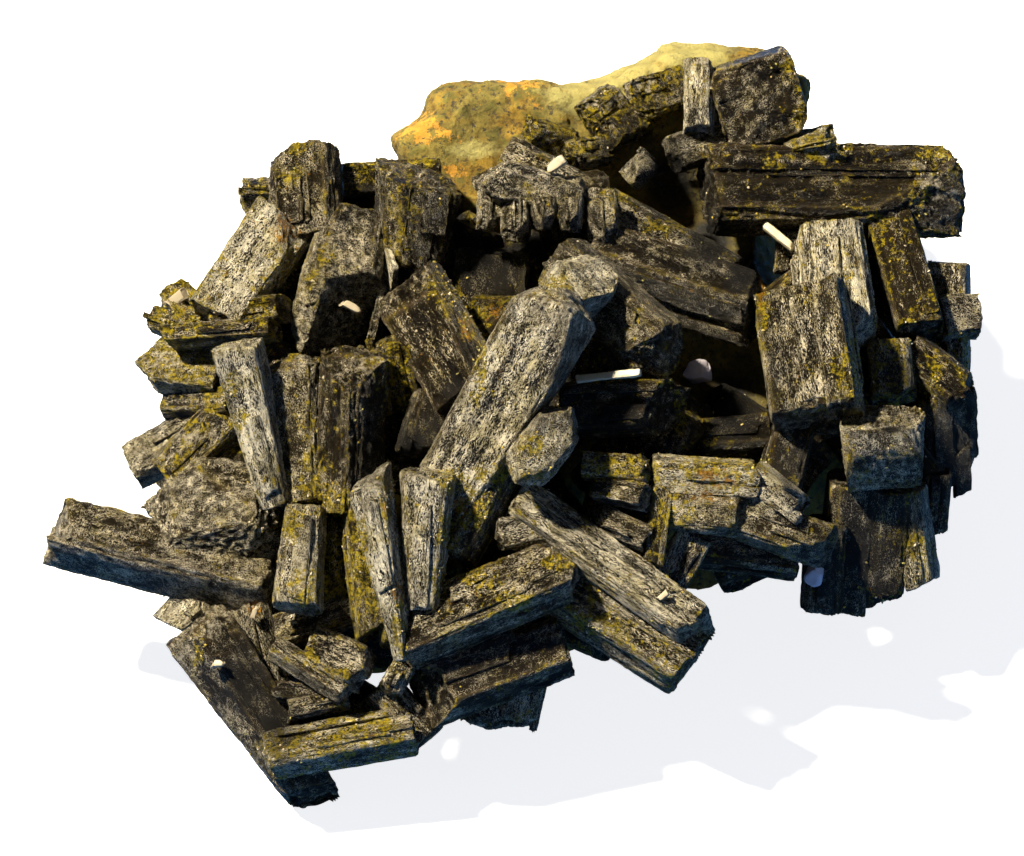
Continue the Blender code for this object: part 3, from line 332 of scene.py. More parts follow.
# Faces broken or grown across single crystals: which way each looks (right, up, out of the face)
# and a point that it passes through (across, down, proud).
CUTS = {
    "shoulder": [((-0.72, 0.68, 0.1), (28, 15.2, 0))],
    "gable": [((0.74, 0.25, 0.62), (28.2, 23.2, 6))],
    "anvil": [((-0.72, -0.16, 0.68), (32.8, 27.4, 11.4)), ((0.42, -0.55, 0.72), (32.8, 27.4, 11.4))],
    "bucket": [((0.36, 0.9, 0.25), (42.6, 18, 5.5)), ((0.55, -0.55, 0.62), (45.2, 23.4, 5.6))],
    "fringe_roof": [((-0.55, 0.83, 0.2), (49.6, 16.6, 4)), ((0.35, 0.93, 0.1), (56, 17.4, 3))],
    "beam": [((0.95, 0.1, 0.25), (76, 31, 6))],
    "prow": [((0.9, -0.1, 0.4), (67.4, 34, 12)), ((-0.1, -0.75, 0.65), (65, 34, 14))],
    "spire": [
        ((0.885, 0.465, 0.1), (58.4, 31, 21)), ((-0.1, 0.8, 0.6), (55.2, 29.8, 21.8)),
        ((-0.22, 0.97, 0.05), (54.6, 28.6, 19)), ((0.76, -0.3, 0.58), (56.1, 34, 21.8)),
    ],
    "spire_twin": [
        ((0.22, 0.4, 0.89), (58.9, 27.9, 16.4)), ((-0.75, 0.35, 0.55), (56.2, 27.2, 15.8)),
        ((0.45, -0.85, 0.27), (59.6, 30.1, 15.4)), ((0.9, 0.1, 0.42), (61, 29, 15.4)),
        ((-0.1, 0.97, 0.1), (57.6, 25.8, 14)),
    ],
    "chisel": [((0.6, 0.48, 0.64), (46, 31.4, 12)), ((-0.6, 0.55, 0.58), (41.2, 29, 9.6))],
    "post_2": [((-0.1, 0.66, 0.74), (35.6, 38.4, 16.2))],
    "arm": [((-0.8, 0.3, 0.52), (6.9, 52.4, 8))],
    "heavy_leg": [((-0.1, 0.75, 0.65), (21.4, 63.4, 12.6)), ((-0.58, -0.42, 0.7), (24.9, 71.2, 12))],
    "log_low": [((-0.75, -0.1, 0.65), (44.6, 68.6, 15))],
    "shaft": [((0.8, -0.3, 0.5), (69.8, 61.4, 16))],
    "trunk": [((0.45, -0.05, 0.88), (91, 18.4, -6)), ((0.8, 0.6, 0.1), (96, 15.6, -9))],
    "drum": [((0.1, -0.8, 0.6), (82, 40.6, 12.2)), ((0.72, 0.05, 0.68), (85.2, 36, 10.8))],
    "crown": [((0.05, -0.72, 0.69), (88, 46.3, 10.8)), ((0.7, 0.2, 0.68), (91.4, 43.6, 11))],
    "stub": [((0.75, -0.25, 0.6), (65.4, 40.5, 15))],
    "step_2": [((0.55, -0.3, 0.78), (78, 50, 14.8))],
    "cannon": [((-0.55, 0.6, 0.58), (73, 7, -6.6)), ((0.55, 0.5, 0.67), (80.9, 6.2, -6.8))],
    "post_1": [((-0.3, 0.7, 0.65), (29.2, 35.6, 11.6))],
    "loaf": [
        ((0, 0.6, 0.8), (20, 47.4, 9.8)), ((-0.1, -0.6, 0.8), (21, 55.2, 9.8)),
        ((-0.8, 0.1, 0.6), (15.4, 50.6, 7.2)), ((0.4, 0.2, 0.9), (26.4, 51, 13.4)),
    ],
    "wall_1": [((-0.35, -0.93, 0), (82.6, 61.2, 0))],
    "wall_2": [((0.42, -0.9, 0.1), (88.6, 60.4, 1))],
    "wall_3": [((0.45, -0.89, 0), (92.2, 58.8, 2))],
    "sill": [((0.05, -0.78, 0.62), (70.5, 48.7, 16))],
    "step_1": [((0.05, -0.8, 0.6), (70.5, 52.4, 15.6)), ((0.1, 0.75, 0.65), (70.5, 50, 15.8))],
    "step_3": [((0.1, -0.75, 0.65), (78.5, 54.6, 15.4))],
}

# How many slabs grow on single crystals.
SLABS_OF = {
    "anvil": 1, "lintel": 0, "bucket": 2, "spire": 0, "spire_twin": 0, "blade": 1, "chisel": 0,
    "fringe_roof": 0, "rafter": 1, "cannon": 0, "gable": 1, "plank": 1, "ear_high": 0, "ear_low": 1,
    "ear_brace": 0, "crown": 0, "seed": 0, "arm": 2, "heavy_leg": 2, "loaf": 0,
}

# Spots of crust on the crystals and the rock, and of painted shade in the hollows and shadowed places between
# them, by kind:
# across, down, half width, half height and strength.
SPOTS = {
    "crust": [
        (79.6, 6.6, 1.8, 1.4, 1), (80.4, 10, 0.8, 2.2, 0.9), (45.6, 48.6, 1.6, 1, 1),
        (47.6, 50.6, 1.2, 1.6, 1), (44.6, 52.6, 0.9, 1.5, 1), (48.2, 47.6, 1, 0.9, 0.9),
        (28.2, 26.6, 1.4, 1.6, 1), (94, 15.2, 2.2, 0.7, 1), (83, 15, 2.2, 0.8, 1), (92, 19, 0.8, 2.2, 0.9),
        (77, 16.2, 1.4, 0.8, 0.8), (29, 17.4, 1, 0.8, 0.9), (30, 14.8, 0.8, 0.7, 0.8),
        (23, 39, 0.9, 1.2, 0.8), (24.1, 42, 0.9, 1, 0.7), (32.5, 25.5, 1, 0.8, 0.8), (31.2, 28, 0.8, 1, 0.7),
        (43.7, 28.5, 1.2, 1.5, 1.1), (44.9, 29.9, 1, 1.5, 1.1), (46.8, 32.2, 1, 1.8, 1.1),
        (48.1, 36.5, 0.6, 2.4, 1.2), (47.6, 39.5, 0.7, 1.6, 1.1), (55.5, 28.2, 1.6, 0.6, 1.1),
        (45, 48, 1.5, 1.2, 1.2), (47.5, 50.2, 1.3, 1.4, 1.2), (44.7, 53.2, 1, 1.6, 1.1),
        (45.7, 51.5, 1, 1.2, 1), (38.7, 49.8, 0.8, 2, 1), (31.2, 47.5, 1.2, 1.4, 0.9),
        (32.2, 50, 1.8, 1.8, 1), (48, 57.5, 1.6, 0.9, 0.9), (51.3, 60, 1.4, 0.9, 1.2),
        (55.7, 56.3, 1.2, 0.9, 1.1), (59.2, 62.5, 1.4, 0.8, 1.1), (60.8, 62.3, 1, 0.8, 1),
        (53.4, 44.7, 1.4, 1.4, 1.1), (53.5, 47.5, 1, 0.7, 1), (60.7, 46.7, 1.6, 1, 1.1),
        (64.2, 47.2, 1.6, 1, 1.1), (68, 51.5, 1.6, 1, 0.9), (68, 41, 0.5, 2.2, 1.1),
        (66.8, 37.7, 0.9, 0.7, 1), (85, 37, 1.3, 2.2, 1.1), (76.1, 31, 0.6, 2.6, 1), (93, 39.5, 1.2, 1.4, 1),
        (93.5, 37.5, 1, 1.2, 0.9), (96.4, 35.8, 0.7, 2.4, 1), (92, 55, 1.6, 1.6, 0.7),
        (19.7, 65.8, 0.8, 1.6, 0.9), (27.5, 74.8, 2, 0.8, 1.2), (35.2, 71.6, 1.4, 1, 1.2),
        (30.8, 65.7, 1, 0.8, 1), (34, 67.4, 0.7, 0.5, 1.1), (40, 62.5, 0.7, 3, 1.2),
        (30.5, 58.5, 1.4, 2, 0.9), (29.2, 52.2, 1, 1.8, 0.8), (17, 31.5, 2, 3, 0.9),
        (18.5, 36, 1.8, 1.4, 0.8), (73, 46.2, 3, 0.8, 0.9), (50, 47, 1.2, 2.2, 0.8),
        (62, 19.5, 2.2, 0.8, 0.7), (66, 22.5, 2.4, 0.7, 0.7), (36, 54.5, 0.8, 3, 0.8),
        (33.4, 56, 0.8, 3, 0.8), (44, 57.5, 0.8, 2.4, 0.8),
    ],
    "rust": [
        (28.5, 22.5, 1.4, 1.8, 0.9), (38.8, 49.8, 0.6, 2.2, 1.1), (46.5, 32.8, 0.8, 1.4, 0.9),
        (71, 47.7, 1.4, 0.9, 1.1), (72.7, 48.2, 1, 0.7, 0.9), (46, 50.6, 1.2, 1.2, 0.9),
        (76.1, 29, 0.5, 1.8, 1), (25.5, 60.8, 0.8, 1, 1.2), (49.5, 31, 1.2, 1, 0.9), (40, 59, 1, 1.6, 0.9),
        (47.5, 41, 0.8, 1.2, 0.8), (70.5, 49.5, 1.4, 0.8, 0.9), (42, 13, 3, 1.6, 0.9), (52, 8.5, 3, 1.2, 1),
        (46, 17, 1.6, 1, 0.9),
    ],
    "cream": [
        (81.6, 57.2, 1, 1.4, 0.9), (82.2, 60, 0.8, 1, 0.8), (91.4, 16.9, 1.2, 0.8, 0.9),
        (92.9, 18.2, 1.5, 0.9, 1), (94.5, 19.6, 1.3, 0.9, 0.9), (55.5, 32, 3.2, 2.4, 0.9),
        (55, 30, 2.4, 1.6, 0.7), (31, 33.5, 2.6, 1.4, 0.8), (20.5, 62, 3.2, 3, 0.8), (18.4, 63, 0.8, 2, 0.9),
        (34.5, 24.5, 3.2, 3, 0.6), (30, 56, 2, 4, 0.6), (14.5, 44.5, 2.2, 2, 0.9),
        (16.5, 36.2, 2.6, 1.4, 0.8), (37, 49, 1.6, 3, 1), (19.5, 43.5, 3.6, 0.5, 1),
        (66.5, 43.6, 1.5, 1, 0.6), (44, 66.6, 3, 0.7, 0.6), (63, 33, 1.2, 1, 0.8), (50, 20, 3.6, 1.8, 0.5),
        (62.5, 7.6, 4.5, 2.4, 1), (68.5, 5, 4.5, 2, 1), (57.5, 9.6, 3, 1.8, 1), (47.5, 15, 2.6, 0.9, 0.9),
        (5.6, 53, 1.8, 2.4, 1), (21.6, 60.8, 2.4, 1.4, 1), (18.4, 64, 1, 2.6, 1.1),
        (34.6, 30.4, 2, 2.6, 0.5), (19.6, 66.8, 0.9, 2.2, 0.9), (22.6, 71.2, 0.8, 2.4, 0.7),
        (26, 75.8, 0.8, 2.4, 0.7), (55.5, 33.6, 3, 1.6, 0.8), (17, 61.5, 1.2, 1.6, 0.9),
        (35.5, 36.2, 2.6, 1.4, 0.6),
    ],
    "painted_shade": [
        (67, 18.5, 3.2, 4.5, 1.3), (61, 14.6, 1.2, 1, 1), (71, 24, 3, 3, 1.3), (74.5, 27, 2.2, 2.6, 1.2),
        (48.5, 26, 5.5, 3.6, 0.9), (45.8, 22.5, 1.2, 3, 1.2), (53.5, 24.6, 2.5, 1.6, 1.3),
        (61, 41.8, 4.5, 2.2, 1), (73, 40, 3.5, 4, 1.2), (89.2, 43, 1.2, 0.5, 1.2), (77.3, 38, 1.6, 5, 0.5),
        (41, 44, 2.5, 3, 0.9), (36.5, 19.8, 2, 1.6, 0.9), (83, 17.2, 6, 0.7, 0.8), (37, 44, 2.2, 6, 0.7),
        (63.5, 14, 4, 1, 0.7), (54, 22.8, 5, 1, 0.6), (87.2, 56.4, 3, 4.6, 0.7), (83.2, 56.6, 2.6, 5, 0.6),
        (94.8, 46, 2.6, 6, 0.7), (43, 43, 2.4, 3, 0.5), (79.5, 46, 2.6, 4, 0.6), (90.8, 38, 1.6, 3, 0.5),
        (24.6, 68, 2.8, 3.6, 0.9), (27.8, 73, 2.4, 3.4, 0.9), (45.2, 38.8, 1.8, 2, 0.7),
        (86.5, 54.5, 4, 5, 0.4), (80, 20, 8, 2.4, 0.3), (57.7, 34.6, 1.3, 1.6, 0.6),
        (56.5, 37.6, 1.3, 1.8, 0.6), (55.2, 40.2, 1, 1.4, 0.6), (54, 42, 1.2, 1.4, 0.7),
    ],
}

# Lumps of the rock: middle and half sizes, as X, Y, Z.
ROCK_LUMPS = [
    ((-7.5, -6, 6), (26, 23, 21)), ((14, 8, 6), (26, 22, 23)), ((0.3, 24, 14), (14, 13, 15.5)),
    ((15.9, 26, 15), (13.2, 12, 17)), ((32, 10, 5), (12, 17, 13.5)), ((-20, 8, 14), (13.5, 15, 12.5)),
]
# Blocks of its upper edge: middle (across, down, proud), half sizes the same way, lean in degrees.
ROCK_BLOCKS = [
    ((50.4, 15.2, -19), (9.2, 9, 10), 1), ((45.6, 16.6, -17), (5.8, 7.8, 9), 28),
    ((59, 13.4, -20), (7, 7.4, 10), 8), ((66, 11.2, -21), (7.5, 7.4, 10), 24),
    ((71.6, 11, -21), (8, 8.6, 10), -3), ((76.4, 12, -21), (5.4, 7.4, 9), -12),
]
ROCK_BLOCK_ROUNDNESS = 5.0
ROCK_FACETS = 11
ROCK_FACET_REACH = (0.74, 0.92)
ROCK_KNOB_SCALE = 0.13
ROCK_KNOB_SHARE = 0.20
ROCK_SUBDIVISIONS = 5
ROCK_VOXEL = 0.5
ROCK_BASE = 0.3
ROCK_EVEN_BELOW = 2.5

# Colours, as linear red, green and blue.
COLOURS = {
    "soot": (0.005, 0.0035, 0.002),
    "umber": (0.028, 0.020, 0.008),
    "brown needle": (0.115, 0.078, 0.038),
    "golden needle": (0.16, 0.120, 0.026),
    "dull glint cream": (0.82, 0.71, 0.49),
    "bright glint cream": (1.0, 0.92, 0.70),
    "mustard": (0.50, 0.40, 0.10),
    "crust light": (0.66, 0.50, 0.020),
    "crust dark": (0.07, 0.060, 0.006),
    "rust light": (0.62, 0.30, 0.020),
    "rust dark": (0.10, 0.05, 0.010),
    "cream light": (0.72, 0.64, 0.47),
    "cream dark": (0.15, 0.12, 0.06),
    "deep ochre": (0.10, 0.06, 0.005),
    "ochre": (0.44, 0.28, 0.03),
    "deep olive": (0.035, 0.035, 0.006),
    "olive": (0.20, 0.17, 0.03),
    "deep sand": (0.13, 0.10, 0.018),
    "sand": (0.36, 0.28, 0.055),
    "pale green": (0.42, 0.38, 0.13),
    "dark speck": (0.035, 0.026, 0.008),
    "orange vein": (0.60, 0.30, 0.03),
    "dark crumb": (0.03, 0.024, 0.014),
    "olive crumb": (0.30, 0.27, 0.07),
    "yellow crumb": (0.45, 0.33, 0.04),
    "cream crumb": (0.55, 0.47, 0.32),
    "cream grain light": (0.46, 0.40, 0.28),
    "cream grain dark": (0.26, 0.21, 0.13),
    "painted_lit_ivory grain light": (0.60, 0.54, 0.38),
    "painted_lit_ivory grain dark": (0.40, 0.35, 0.23),
    "lilac grain light": (0.80, 0.74, 0.80),
    "lilac grain dark": (0.30, 0.26, 0.32),
    "stain": (0.35, 0.28, 0.16),
    "floor": (0.80, 0.80, 0.80),
    "floor glow": (0.045, 0.14, 0.39),
    "sky": (0.55, 0.62, 0.80),
}

# Lamps: the way towards each (across, up the display face, proud), strength, colour, angle in degrees.
SUNS = (
    ("key", (-0.52, 0.64, 0.57), 11.0, (1.0, 0.89, 0.69), 4.0),
    ("side", (0.82, -0.50, 0.46), 0.7, (0.12, 0.36, 1.0), 20.0),
)
SKY_STRENGTH = 0.12
FLOOR_SIZE = 6.0
FLOOR_GLOW = 0.85


def on_face(across, down, proud):
    """The point that lies so far across, down and proud on the display face, in millimetres."""
    return FACE_CORNER + ACROSS * across - UPWARD * down + PROUD * proud


def placed(name, data):
    """A new object in the scene."""
    thing = bpy.data.objects.new(name, data)
    bpy.context.scene.collection.objects.link(thing)
    return thing


def crystal_frame(root, tip, turn_deg):
    """The matrix of a crystal's own axes: its width, its thickness and its length, root to tip."""
    along = (tip - root).normalized()
    front = (PROUD - along * PROUD.dot(along)).normalized()
    side = front.cross(along)
    turn = math.radians(turn_deg)
    width = side * math.cos(turn) - front * math.sin(turn)
    thick = front * math.cos(turn) + side * math.sin(turn)
    axes = Matrix((width, thick, along)).transposed().to_4x4()
    return Matrix.Translation((root + tip) / 2) @ axes


# Node trees


class Bench:
    """Adds nodes to one tree and feeds their inputs with sockets or plain values."""

    def __init__(self, tree):
        self.tree = tree

    def add(self, kind, inputs=None, **settings):
        made = self.tree.nodes.new(kind)
        for name, value in settings.items():
            setattr(made, name, value)
        for name, value in (inputs or {}).items():
            self.feed(made.inputs[name], value)
        return made

    def feed(self, socket, value):
        if isinstance(value, bpy.types.NodeSocket):
            self.tree.links.new(value, socket)
        else:
            socket.default_value = value

    def math(self, operation, *terms):
        return self.add("ShaderNodeMath", dict(enumerate(terms)), operation=operation).outputs[0]

    def vector(self, operation, *terms):
        made = self.add("ShaderNodeVectorMath", dict(enumerate(terms)), operation=operation)
        return made.outputs["Value" if operation == "DOT_PRODUCT" else "Vector"]

    def scaled(self, vector, factor):
        made = self.add("ShaderNodeVectorMath", {0: vector, "Scale": factor}, operation="SCALE")
        return made.outputs["Vector"]

    def noise(self, vector, scale, detail=2.0, roughness=0.5, output="Fac"):
        inputs = {"Vector": vector, "Scale": scale, "Detail": detail, "Roughness": roughness}
        return self.add("ShaderNodeTexNoise", inputs).outputs[output]

    def ramp(self, value, low, high, start=0.0, end=1.0, kind="LINEAR"):
        inputs = {"Value": value, "From Min": low, "From Max": high, "To Min": start, "To Max": end}
        made = self.add("ShaderNodeMapRange", inputs, interpolation_type=kind, clamp=True)
        return made.outputs["Result"]

    def blend(self, factor, first, second):
        """A colour between two others, each a socket or the name of a colour."""
        ends = [(*COLOURS[end], 1) if isinstance(end, str) else end for end in (first, second)]
        inputs = {0: factor, 6: ends[0], 7: ends[1]}
        return self.add("ShaderNodeMix", inputs, data_type="RGBA").outputs[2]

    def between(self, factor, first, second):
        """A number between two others."""
        inputs = {0: factor, 2: first, 3: second}
        return self.add("ShaderNodeMix", inputs, data_type="FLOAT").outputs[0]

    def group(self, tree, **inputs):
        """A group of nodes: its outputs."""
        made = self.add("ShaderNodeGroup", node_tree=tree)
        for name, value in inputs.items():
            self.feed(made.inputs[name.replace("_", " ")], value)
        return made.outputs

    def position(self):
        return self.add("GeometryNodeInputPosition").outputs[0]

    def moved(self, body, **where):
        return self.add("GeometryNodeSetPosition", {"Geometry": body, **where}).outputs[0]

    def realized(self, body):
        return self.add("GeometryNodeRealizeInstances", {"Geometry": body}).outputs[0]

    def marked(self, body, domain="POINT", **marks):
        """The mesh with these values kept on it as attributes."""
        for name, value in marks.items():
            kind = "FLOAT_VECTOR" if value.type == "VECTOR" else "FLOAT"
            inputs = {"Geometry": body, "Name": name, "Value": value}
            body = self.add("GeometryNodeStoreNamedAttribute", inputs, data_type=kind, domain=domain)
            body = body.outputs[0]
        return body

    def dress(self, body, finish):
        """Ends a geometry tree with the material."""
        dressed = self.add("GeometryNodeSetMaterial", {"Geometry": body, "Material": finish})
        self.put_out(Geometry=dressed.outputs[0])

    def sink_and_dress(self, body, normal, depth, finish):
        """Ends a geometry tree: the skin sinks by its depth, then is smoothed and realized."""
        inward = self.scaled(normal, self.math("MULTIPLY", depth, -1.0))
        body = self.moved(body, Offset=inward)
        body = self.add("GeometryNodeSetShadeSmooth", {"Geometry": body}).outputs[0]
        self.dress(self.realized(body), finish)

    def put_out(self, **results):
        self.add("NodeGroupOutput", results)


SOCKET_KINDS = {float: "Float", int: "Int", tuple: "Vector"}


def new_tree(name, kind, inputs, outputs):
    """A group tree with named sockets: the tree, its bench, and the sockets that bring its inputs.

    An input is given by its plain value, or by its kind of socket where it has none.
    """
    tree = bpy.data.node_groups.new(name, kind)
    for label, value in inputs.items():
        socket = value if isinstance(value, str) else SOCKET_KINDS[type(value)]
        made = tree.interface.new_socket(label, in_out="INPUT", socket_type=f"NodeSocket{socket}")
        if socket != value:
            made.default_value = value
    for label, socket in outputs.items():
        tree.interface.new_socket(label, in_out="OUTPUT", socket_type=f"NodeSocket{socket}")
    bench = Bench(tree)
    return tree, bench, bench.add("NodeGroupInput").outputs


def geometry_tree(name, inputs):
    """A Geometry Nodes tree that makes geometry with one finish."""
    inputs = inputs | {"Finish": "Material"}
    return new_tree(name, "GeometryNodeTree", inputs, {"Geometry": "Geometry"})


def evaluated(name, mesh, tree, values):
    """A plain mesh made from another by a Geometry Nodes tree with these values for its inputs."""
    thing = placed(name, mesh)
    grow = thing.modifiers.new("grow", "NODES")
    grow.node_group = tree
    for socket in tree.interface.items_tree:
        if socket.in_out == "INPUT" and socket.name in values:
            grow[socket.identifier] = values[socket.name]
    graph = bpy.context.evaluated_depsgraph_get()
    made = bpy.data.meshes.new_from_object(thing.evaluated_get(graph), depsgraph=graph)
    made.name = name
    thing.modifiers.remove(grow)
    bpy.data.objects.remove(thing)
    return made


def crystal_tree():
    """One crystal: a box drawn in to its faces, then nibbled, stepped, grooved and pitted."""
    inputs = {"Size": (5.0, 5.0, 15.0), "Rows X": 20, "Rows Y": 20, "Rows Z": 40}
    inputs |= {"Edge Sharpness": 30.0, "Seed": 0.0, "Lath Width": 1.6, "Lath Relief": 0.07}
    inputs |= {"Groove Relief": 0.12, "End Relief": 0.6, "Pit Relief": 0.1, "Nibble": 0.35}
    inputs |= {"Sway": 0.25, "Pale": 0.5, "Granular": 0.0, "Yellow": 0.0}
    faces = [f"Face {number + 1}" for number in range(FACE_SLOTS)]
    inputs |= {face: (0.0, 0.0, 0.0) for face in faces}
    tree, bench, given = geometry_tree("epidote crystal", inputs)

    # The box is drawn in towards the middle until it lies on the faces, with softened edges.
    rows = {f"Vertices {axis}": given[f"Rows {axis}"] for axis in "XYZ"}
    box = bench.add("GeometryNodeMeshCube", {"Size": given["Size"], **rows}).outputs["Mesh"]
    place = bench.position()
    sharp = given["Edge Sharpness"]
    reaches = [bench.vector("DOT_PRODUCT", place, given[face]) for face in faces]
    powers = [bench.math("POWER", bench.math("MAXIMUM", reach, 0.0), sharp) for reach in reaches]
    total = reduce(partial(bench.math, "ADD"), powers)
    root = bench.math("DIVIDE", -1.0, sharp)
    body = bench.moved(box, Position=bench.scaled(place, bench.math("POWER", total, root)))

    # How close a point lies to an edge: there the softening has pulled it inside every face.
    nearest = reduce(partial(bench.math, "MAXIMUM"), reaches)
    edge = bench.ramp(nearest, 1.0, bench.math("POWER", 2.0, root))

    # The ends are where the skin faces along the crystal.
    normal = bench.add("GeometryNodeInputNormal").outputs[0]
    facing = bench.add("ShaderNodeSeparateXYZ", {"Vector": normal}).outputs
    end = bench.ramp(bench.math("ABSOLUTE", facing["Z"]), 0.45, 0.8, kind="SMOOTHSTEP")

    # Each crystal takes its own part of the noises. Most are drawn out along its length and sway a little.
    grain = bench.vector("ADD", place, bench.scaled((13.7, 7.3, 31.1), given["Seed"]))
    bend = bench.noise(bench.vector("MULTIPLY", grain, (0.2, 0.2, 0.12)), 1.0, 1.0)
    bent = bench.vector("ADD", grain, bench.scaled((1.0, 0.8, 0.0), bend))

    # Laths: each has its own step in the sides, its own stop at the ends and its own shade.
    narrow = bench.math("DIVIDE", 1.0, given["Lath Width"])
    lath_place = bench.scaled(bench.vector("MULTIPLY", bent, (1.0, 1.0, 0.09)), narrow)
    cells = bench.add("ShaderNodeTexVoronoi", {"Vector": lath_place, "Scale": 1.0})
    lath = bench.add("ShaderNodeSeparateXYZ", {"Vector": cells.outputs["Color"]}).outputs
    step = bench.math("POWER", lath["X"], 1.6)
    stop = bench.math("POWER", lath["Y"], 1.3)

    # Threads run along the sides. Where the crystal is granular, pits take their place.
    thread = bench.noise(bench.vector("MULTIPLY", bent, (1.9, 1.9, 0.26)), 1.0, 3.0, 0.6)
    pit = bench.ramp(bench.noise(bent, 1.7, 3.0, 0.6), 0.62, 0.4)
    groove = bench.between(given["Granular"], bench.ramp(thread, 0.62, 0.38), pit)
    swell = bench.noise(grain, 0.22, 2.0)
    bite = bench.ramp(bench.noise(grain, 0.8, 2.0), 0.4, 0.7)

    # How deep the skin sinks at the sides, at the ends, all over and at worn edges.
    side = bench.math("MULTIPLY", step, given["Lath Relief"])
    side = bench.math("MULTIPLY_ADD", groove, given["Groove Relief"], side)
    top = bench.math("MULTIPLY", stop, given["End Relief"])
    top = bench.math("MULTIPLY_ADD", pit, given["Pit Relief"], top)
    depth = bench.between(end, side, top)
    depth = bench.math("MULTIPLY_ADD", swell, given["Sway"], depth)
    worn = bench.math("MULTIPLY", edge, bench.math("MULTIPLY", bite, given["Nibble"]))
    depth = bench.math("ADD", depth, worn)

    relief = bench.between(end, groove, pit)
    marks = {"grain": grain, "relief": relief, "edge": edge, "end": end, "lath": lath["Z"]}
    marks |= {look.lower(): given[look] for look in ("Pale", "Granular", "Yellow")}
    bench.sink_and_dress(bench.marked(body, **marks), normal, depth, given["Finish"])
    return tree


def rock_tree():
    """Lumps melted into one rock with a flat base, then knobbed, cracked and pitted."""
    inputs = {"Geometry": "Geometry", "Voxel": 0.5, "Seed": 3.0, "Knob Relief": 1.4}
    inputs |= {"Crack Relief": 0.25, "Grit Relief": 0.7}
    tree, bench, given = geometry_tree("weathered rock", inputs)
    # The lumps are melted into one skin.
    voxels = {"Voxel Size": given["Voxel"]}
    shape = {"Mesh": given["Geometry"], "Interior Band Width": 2.0, **voxels}
    fill = bench.add("GeometryNodeMeshToVolume", shape, resolution_mode="VOXEL_SIZE")
    shape = {"Volume": fill.outputs[0], "Threshold": 0.1, **voxels}
    skin = bench.add("GeometryNodeVolumeToMesh", shape, resolution_mode="VOXEL_SIZE").outputs[0]
    # The skin sinks by knobs, cracks and grit, and stays even just above the floor.
    place = bench.position()
    normal = bench.add("GeometryNodeInputNormal").outputs[0]
    height = bench.add("ShaderNodeSeparateXYZ", {"Vector": place}).outputs["Z"]
    grain = bench.vector("ADD", place, bench.scaled((17.0, 5.0, 9.0), given["Seed"]))
    knob = bench.noise(grain, 0.16, 3.0, 0.55)
    warp = bench.vector("ADD", grain, bench.scaled((1.0, 1.0, 1.0), knob))
    inputs = {"Vector": warp, "Scale": 0.23}
    split = bench.add("ShaderNodeTexVoronoi", inputs, feature="DISTANCE_TO_EDGE")
    crack = bench.ramp(split.outputs["Distance"], 0.16, 0.0)
    grit = bench.noise(grain, 1.2, 4.0, 0.65)
    depth = bench.math("MULTIPLY", knob, given["Knob Relief"])
    depth = bench.math("MULTIPLY_ADD", crack, given["Crack Relief"], depth)
    depth = bench.math("MULTIPLY_ADD", grit, given["Grit Relief"], depth)
    depth = bench.math("MULTIPLY", depth, bench.ramp(height, 0.0, ROCK_EVEN_BELOW))
    body = bench.marked(skin, grain=grain, relief=grit, crack=crack)
    bench.sink_and_dress(body, normal, depth, given["Finish"])
    return tree


def crumb_tree():
    """Small broken grains scattered over a skin, thickest where its crust mark is strongest."""
    inputs = {"Geometry": "Geometry", "Density": 0.05, "Seed": 5, "Crust Density": 1.5}
    tree, bench, given = geometry_tree("crust crumbs", inputs | {"Grain Size": CRUMB_SIZE})
    found = bench.add("GeometryNodeInputNamedAttribute", {"Name": "crust"}, data_type="FLOAT")
    crust = found.outputs["Attribute"]
    density = bench.math("MULTIPLY_ADD", crust, given["Crust Density"], given["Density"])
    inputs = {"Mesh": given["Geometry"], "Density": density, "Seed": given["Seed"]}
    spread = "GeometryNodeDistributePointsOnFaces"
    points = bench.add(spread, inputs, distribute_method="RANDOM").outputs["Points"]
    grain = bench.add("GeometryNodeMeshIcoSphere", {"Radius": 0.5, "Subdivisions": 1})
    spin = bench.add("FunctionNodeRandomValue", {"Seed": 11}, data_type="FLOAT_VECTOR")
    spin.inputs["Max"].default_value = (math.tau, math.tau, math.tau)
    size = bench.add("FunctionNodeRandomValue", {"Seed": 12}, data_type="FLOAT_VECTOR")
    size.inputs["Min"].default_value = (0.35, 0.35, 0.35)
    size.inputs["Max"].default_value = (1.25, 1.0, 0.8)
    inputs = {"Points": points, "Instance": grain.outputs["Mesh"], "Rotation": spin.outputs[0]}
    inputs["Scale"] = bench.scaled(size.outputs[0], given["Grain Size"])
    sown = bench.add("GeometryNodeInstanceOnPoints", inputs).outputs[0]
    tint = bench.add("FunctionNodeRandomValue", {"Seed": 13}, data_type="FLOAT").outputs[1]
    loose = bench.realized(bench.marked(sown, "INSTANCE", tint=tint))
    jitter = bench.noise(bench.position(), 3.0, output="Color")
    jitter = bench.scaled(bench.vector("SUBTRACT", jitter, (0.5, 0.5, 0.5)), 0.25)
    bench.dress(bench.moved(loose, Offset=jitter), given["Finish"])
    return tree


# Finishes


